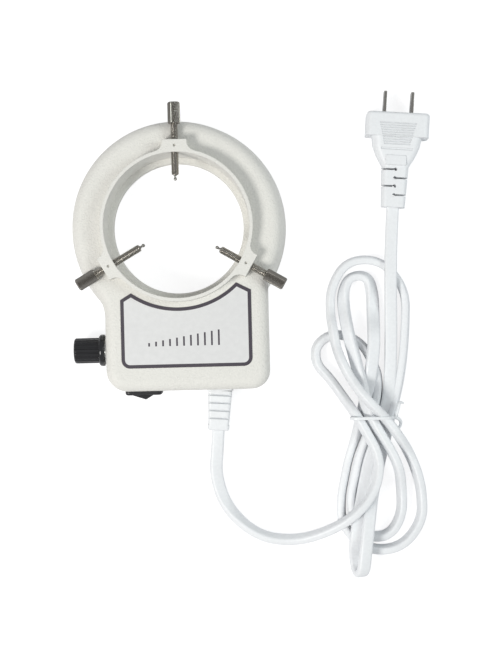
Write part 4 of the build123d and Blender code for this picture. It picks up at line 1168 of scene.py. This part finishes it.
    def carve(self, tree, shape, radius, height, depth, start, length, chamfer):
        """Moves the skin in by depth where height is 0, and chamfers both ends."""
        x, y, along = self.place_parts(tree)
        squares = [maths(tree, "MULTIPLY", side, side) for side in (x, y)]
        out = maths(tree, "SQRT", maths(tree, "ADD", *squares))
        low = maths(tree, "MULTIPLY", maths(tree, "SUBTRACT", 1.0, height), depth)
        from_start = maths(tree, "SUBTRACT", along, start)
        from_end = maths(tree, "SUBTRACT", length, from_start)
        near = maths(tree, "MINIMUM", from_start, from_end)
        cut = maths(tree, "MAXIMUM", maths(tree, "SUBTRACT", chamfer, near), 0.0)
        skin_radius = maths(tree, "SUBTRACT", maths(tree, "SUBTRACT", radius, low), cut)
        share = maths(tree, "DIVIDE", skin_radius, radius)
        # A point on the axis stays there
        share = maths(tree, "MULTIPLY", share, maths(tree, "GREATER_THAN", out, 0.01 * MM))
        place = {
            "X": maths(tree, "MULTIPLY", x, share),
            "Y": maths(tree, "MULTIPLY", y, share),
            "Z": along,
        }
        carved = add_node(tree, "ShaderNodeCombineXYZ", place).outputs[0]
        inputs = {"Geometry": shape, "Position": carved}
        return add_node(tree, "GeometryNodeSetPosition", inputs).outputs[0]


class RINGLIGHT_OT_controls(bpy.types.Operator):
    """Finishes the dimmer knob with its washer and shaft, and the rocker switch"""

    bl_idname = "ringlight.controls"
    bl_label = "Dimmer and switch"

    def execute(self, context):
        knob = skin(
            "knob_black",
            (0.012, 0.012, 0.014),
            (0.018, 0.018, 0.02),
            0.17,
            900.0,
            0.004,
            edge=0.25,
            spread=0.06,
        )
        dress("dimmer_knob", knob)
        black, shade = (0.013, 0.013, 0.015), (0.02, 0.02, 0.022)
        case = skin("switch_black", black, shade, 0.34, 1100.0, 0.03, 0.35)
        dress("switch_body", case)
        dress("switch_rocker", skin("rocker_black", black, shade, 0.28, 1100.0, 0.02, 0.3))
        zinc = metal("control_zinc", ZINC, WORN_ZINC, 0.28, ALONG_X, 900.0)
        for node in ("pot_washer", "pot_nut", "pot_shaft", "pot_body", "switch_terminals"):
            dress(node, zinc)
        return {"FINISHED"}


class RINGLIGHT_OT_driver(bpy.types.Operator):
    """Finishes the driver board, its parts and the wires inside the control box"""

    bl_idname = "ringlight.driver"
    bl_label = "Driver"

    def execute(self, context):
        plain = (
            ("driver_board", "board_green", (0.03, 0.16, 0.08), 0.35),
            ("filter_capacitor", "can_sleeve", (0.02, 0.03, 0.09), 0.25),
            ("transformer_core", "ferrite", (0.07, 0.065, 0.065), 0.6),
            ("transformer_winding", "winding_tape", (0.62, 0.42, 0.05), 0.35),
            ("driver_chip", "chip_resin", (0.02, 0.02, 0.022), 0.5),
            ("bridge_rectifier", "bridge_resin", (0.025, 0.025, 0.027), 0.5),
            ("film_capacitor", "film_resin", (0.55, 0.33, 0.04), 0.35),
            ("inductor", "inductor_ferrite", (0.06, 0.055, 0.055), 0.6),
            ("fuse", "fuse_glass", (0.72, 0.74, 0.72), 0.15),
            ("led_wires", "red_wire", (0.45, 0.03, 0.02), 0.4),
            ("pot_wires", "black_wire", (0.02, 0.02, 0.02), 0.4),
            ("mains_wires", "brown_wire", (0.12, 0.05, 0.03), 0.4),
        )
        for node, name, colour, rough in plain:
            dress(node, skin(name, colour, darker(colour, 0.85), rough, 900.0, 0.02, edge=0.2))
        dress("driver_board_screws", metal("driver_zinc", ZINC, WORN_ZINC, 0.3, ALONG_Z, 900.0))
        return {"FINISHED"}


class RINGLIGHT_PT_panel(bpy.types.Panel):
    bl_idname = "RINGLIGHT_PT_panel"
    bl_label = "Ring light"
    bl_space_type = "VIEW_3D"
    bl_region_type = "UI"
    bl_category = "Ring light"

    def draw(self, context):
        for label, group in SETTINGS.items():
            box = self.layout.box()
            box.label(text=label.replace("_", " ").capitalize())
            settings = getattr(context.scene, label)
            for name in group.__annotations__:
                box.prop(settings, name)
        for operator in OPERATORS:
            self.layout.operator(operator.bl_idname)


SETTINGS = {
    "ring_light_cord": RingLightCord,
    "ring_light_housing": RingLightHousing,
    "ring_light_lamps": RingLightLamps,
    "ring_light_screws": RingLightScrews,
    "ring_light_stage": RingLightStage,
}
OPERATORS = (
    RINGLIGHT_OT_stage,
    RINGLIGHT_OT_cord,
    RINGLIGHT_OT_housing,
    RINGLIGHT_OT_lamps,
    RINGLIGHT_OT_screws,
    RINGLIGHT_OT_controls,
    RINGLIGHT_OT_driver,
)


def register():
    for group in SETTINGS.values():
        bpy.utils.register_class(group)
    for label, group in SETTINGS.items():
        setattr(bpy.types.Scene, label, bpy.props.PointerProperty(type=group))
    for operator in OPERATORS:
        bpy.utils.register_class(operator)
    bpy.utils.register_class(RINGLIGHT_PT_panel)


def unregister():
    bpy.utils.unregister_class(RINGLIGHT_PT_panel)
    for operator in reversed(OPERATORS):
        bpy.utils.unregister_class(operator)
    for label in SETTINGS:
        delattr(bpy.types.Scene, label)
    for group in SETTINGS.values():
        bpy.utils.unregister_class(group)


def main():
    register()
    for operator in OPERATORS:
        folder, name = operator.bl_idname.split(".")
        getattr(getattr(bpy.ops, folder), name)()


if __name__ == "__main__":
    main()
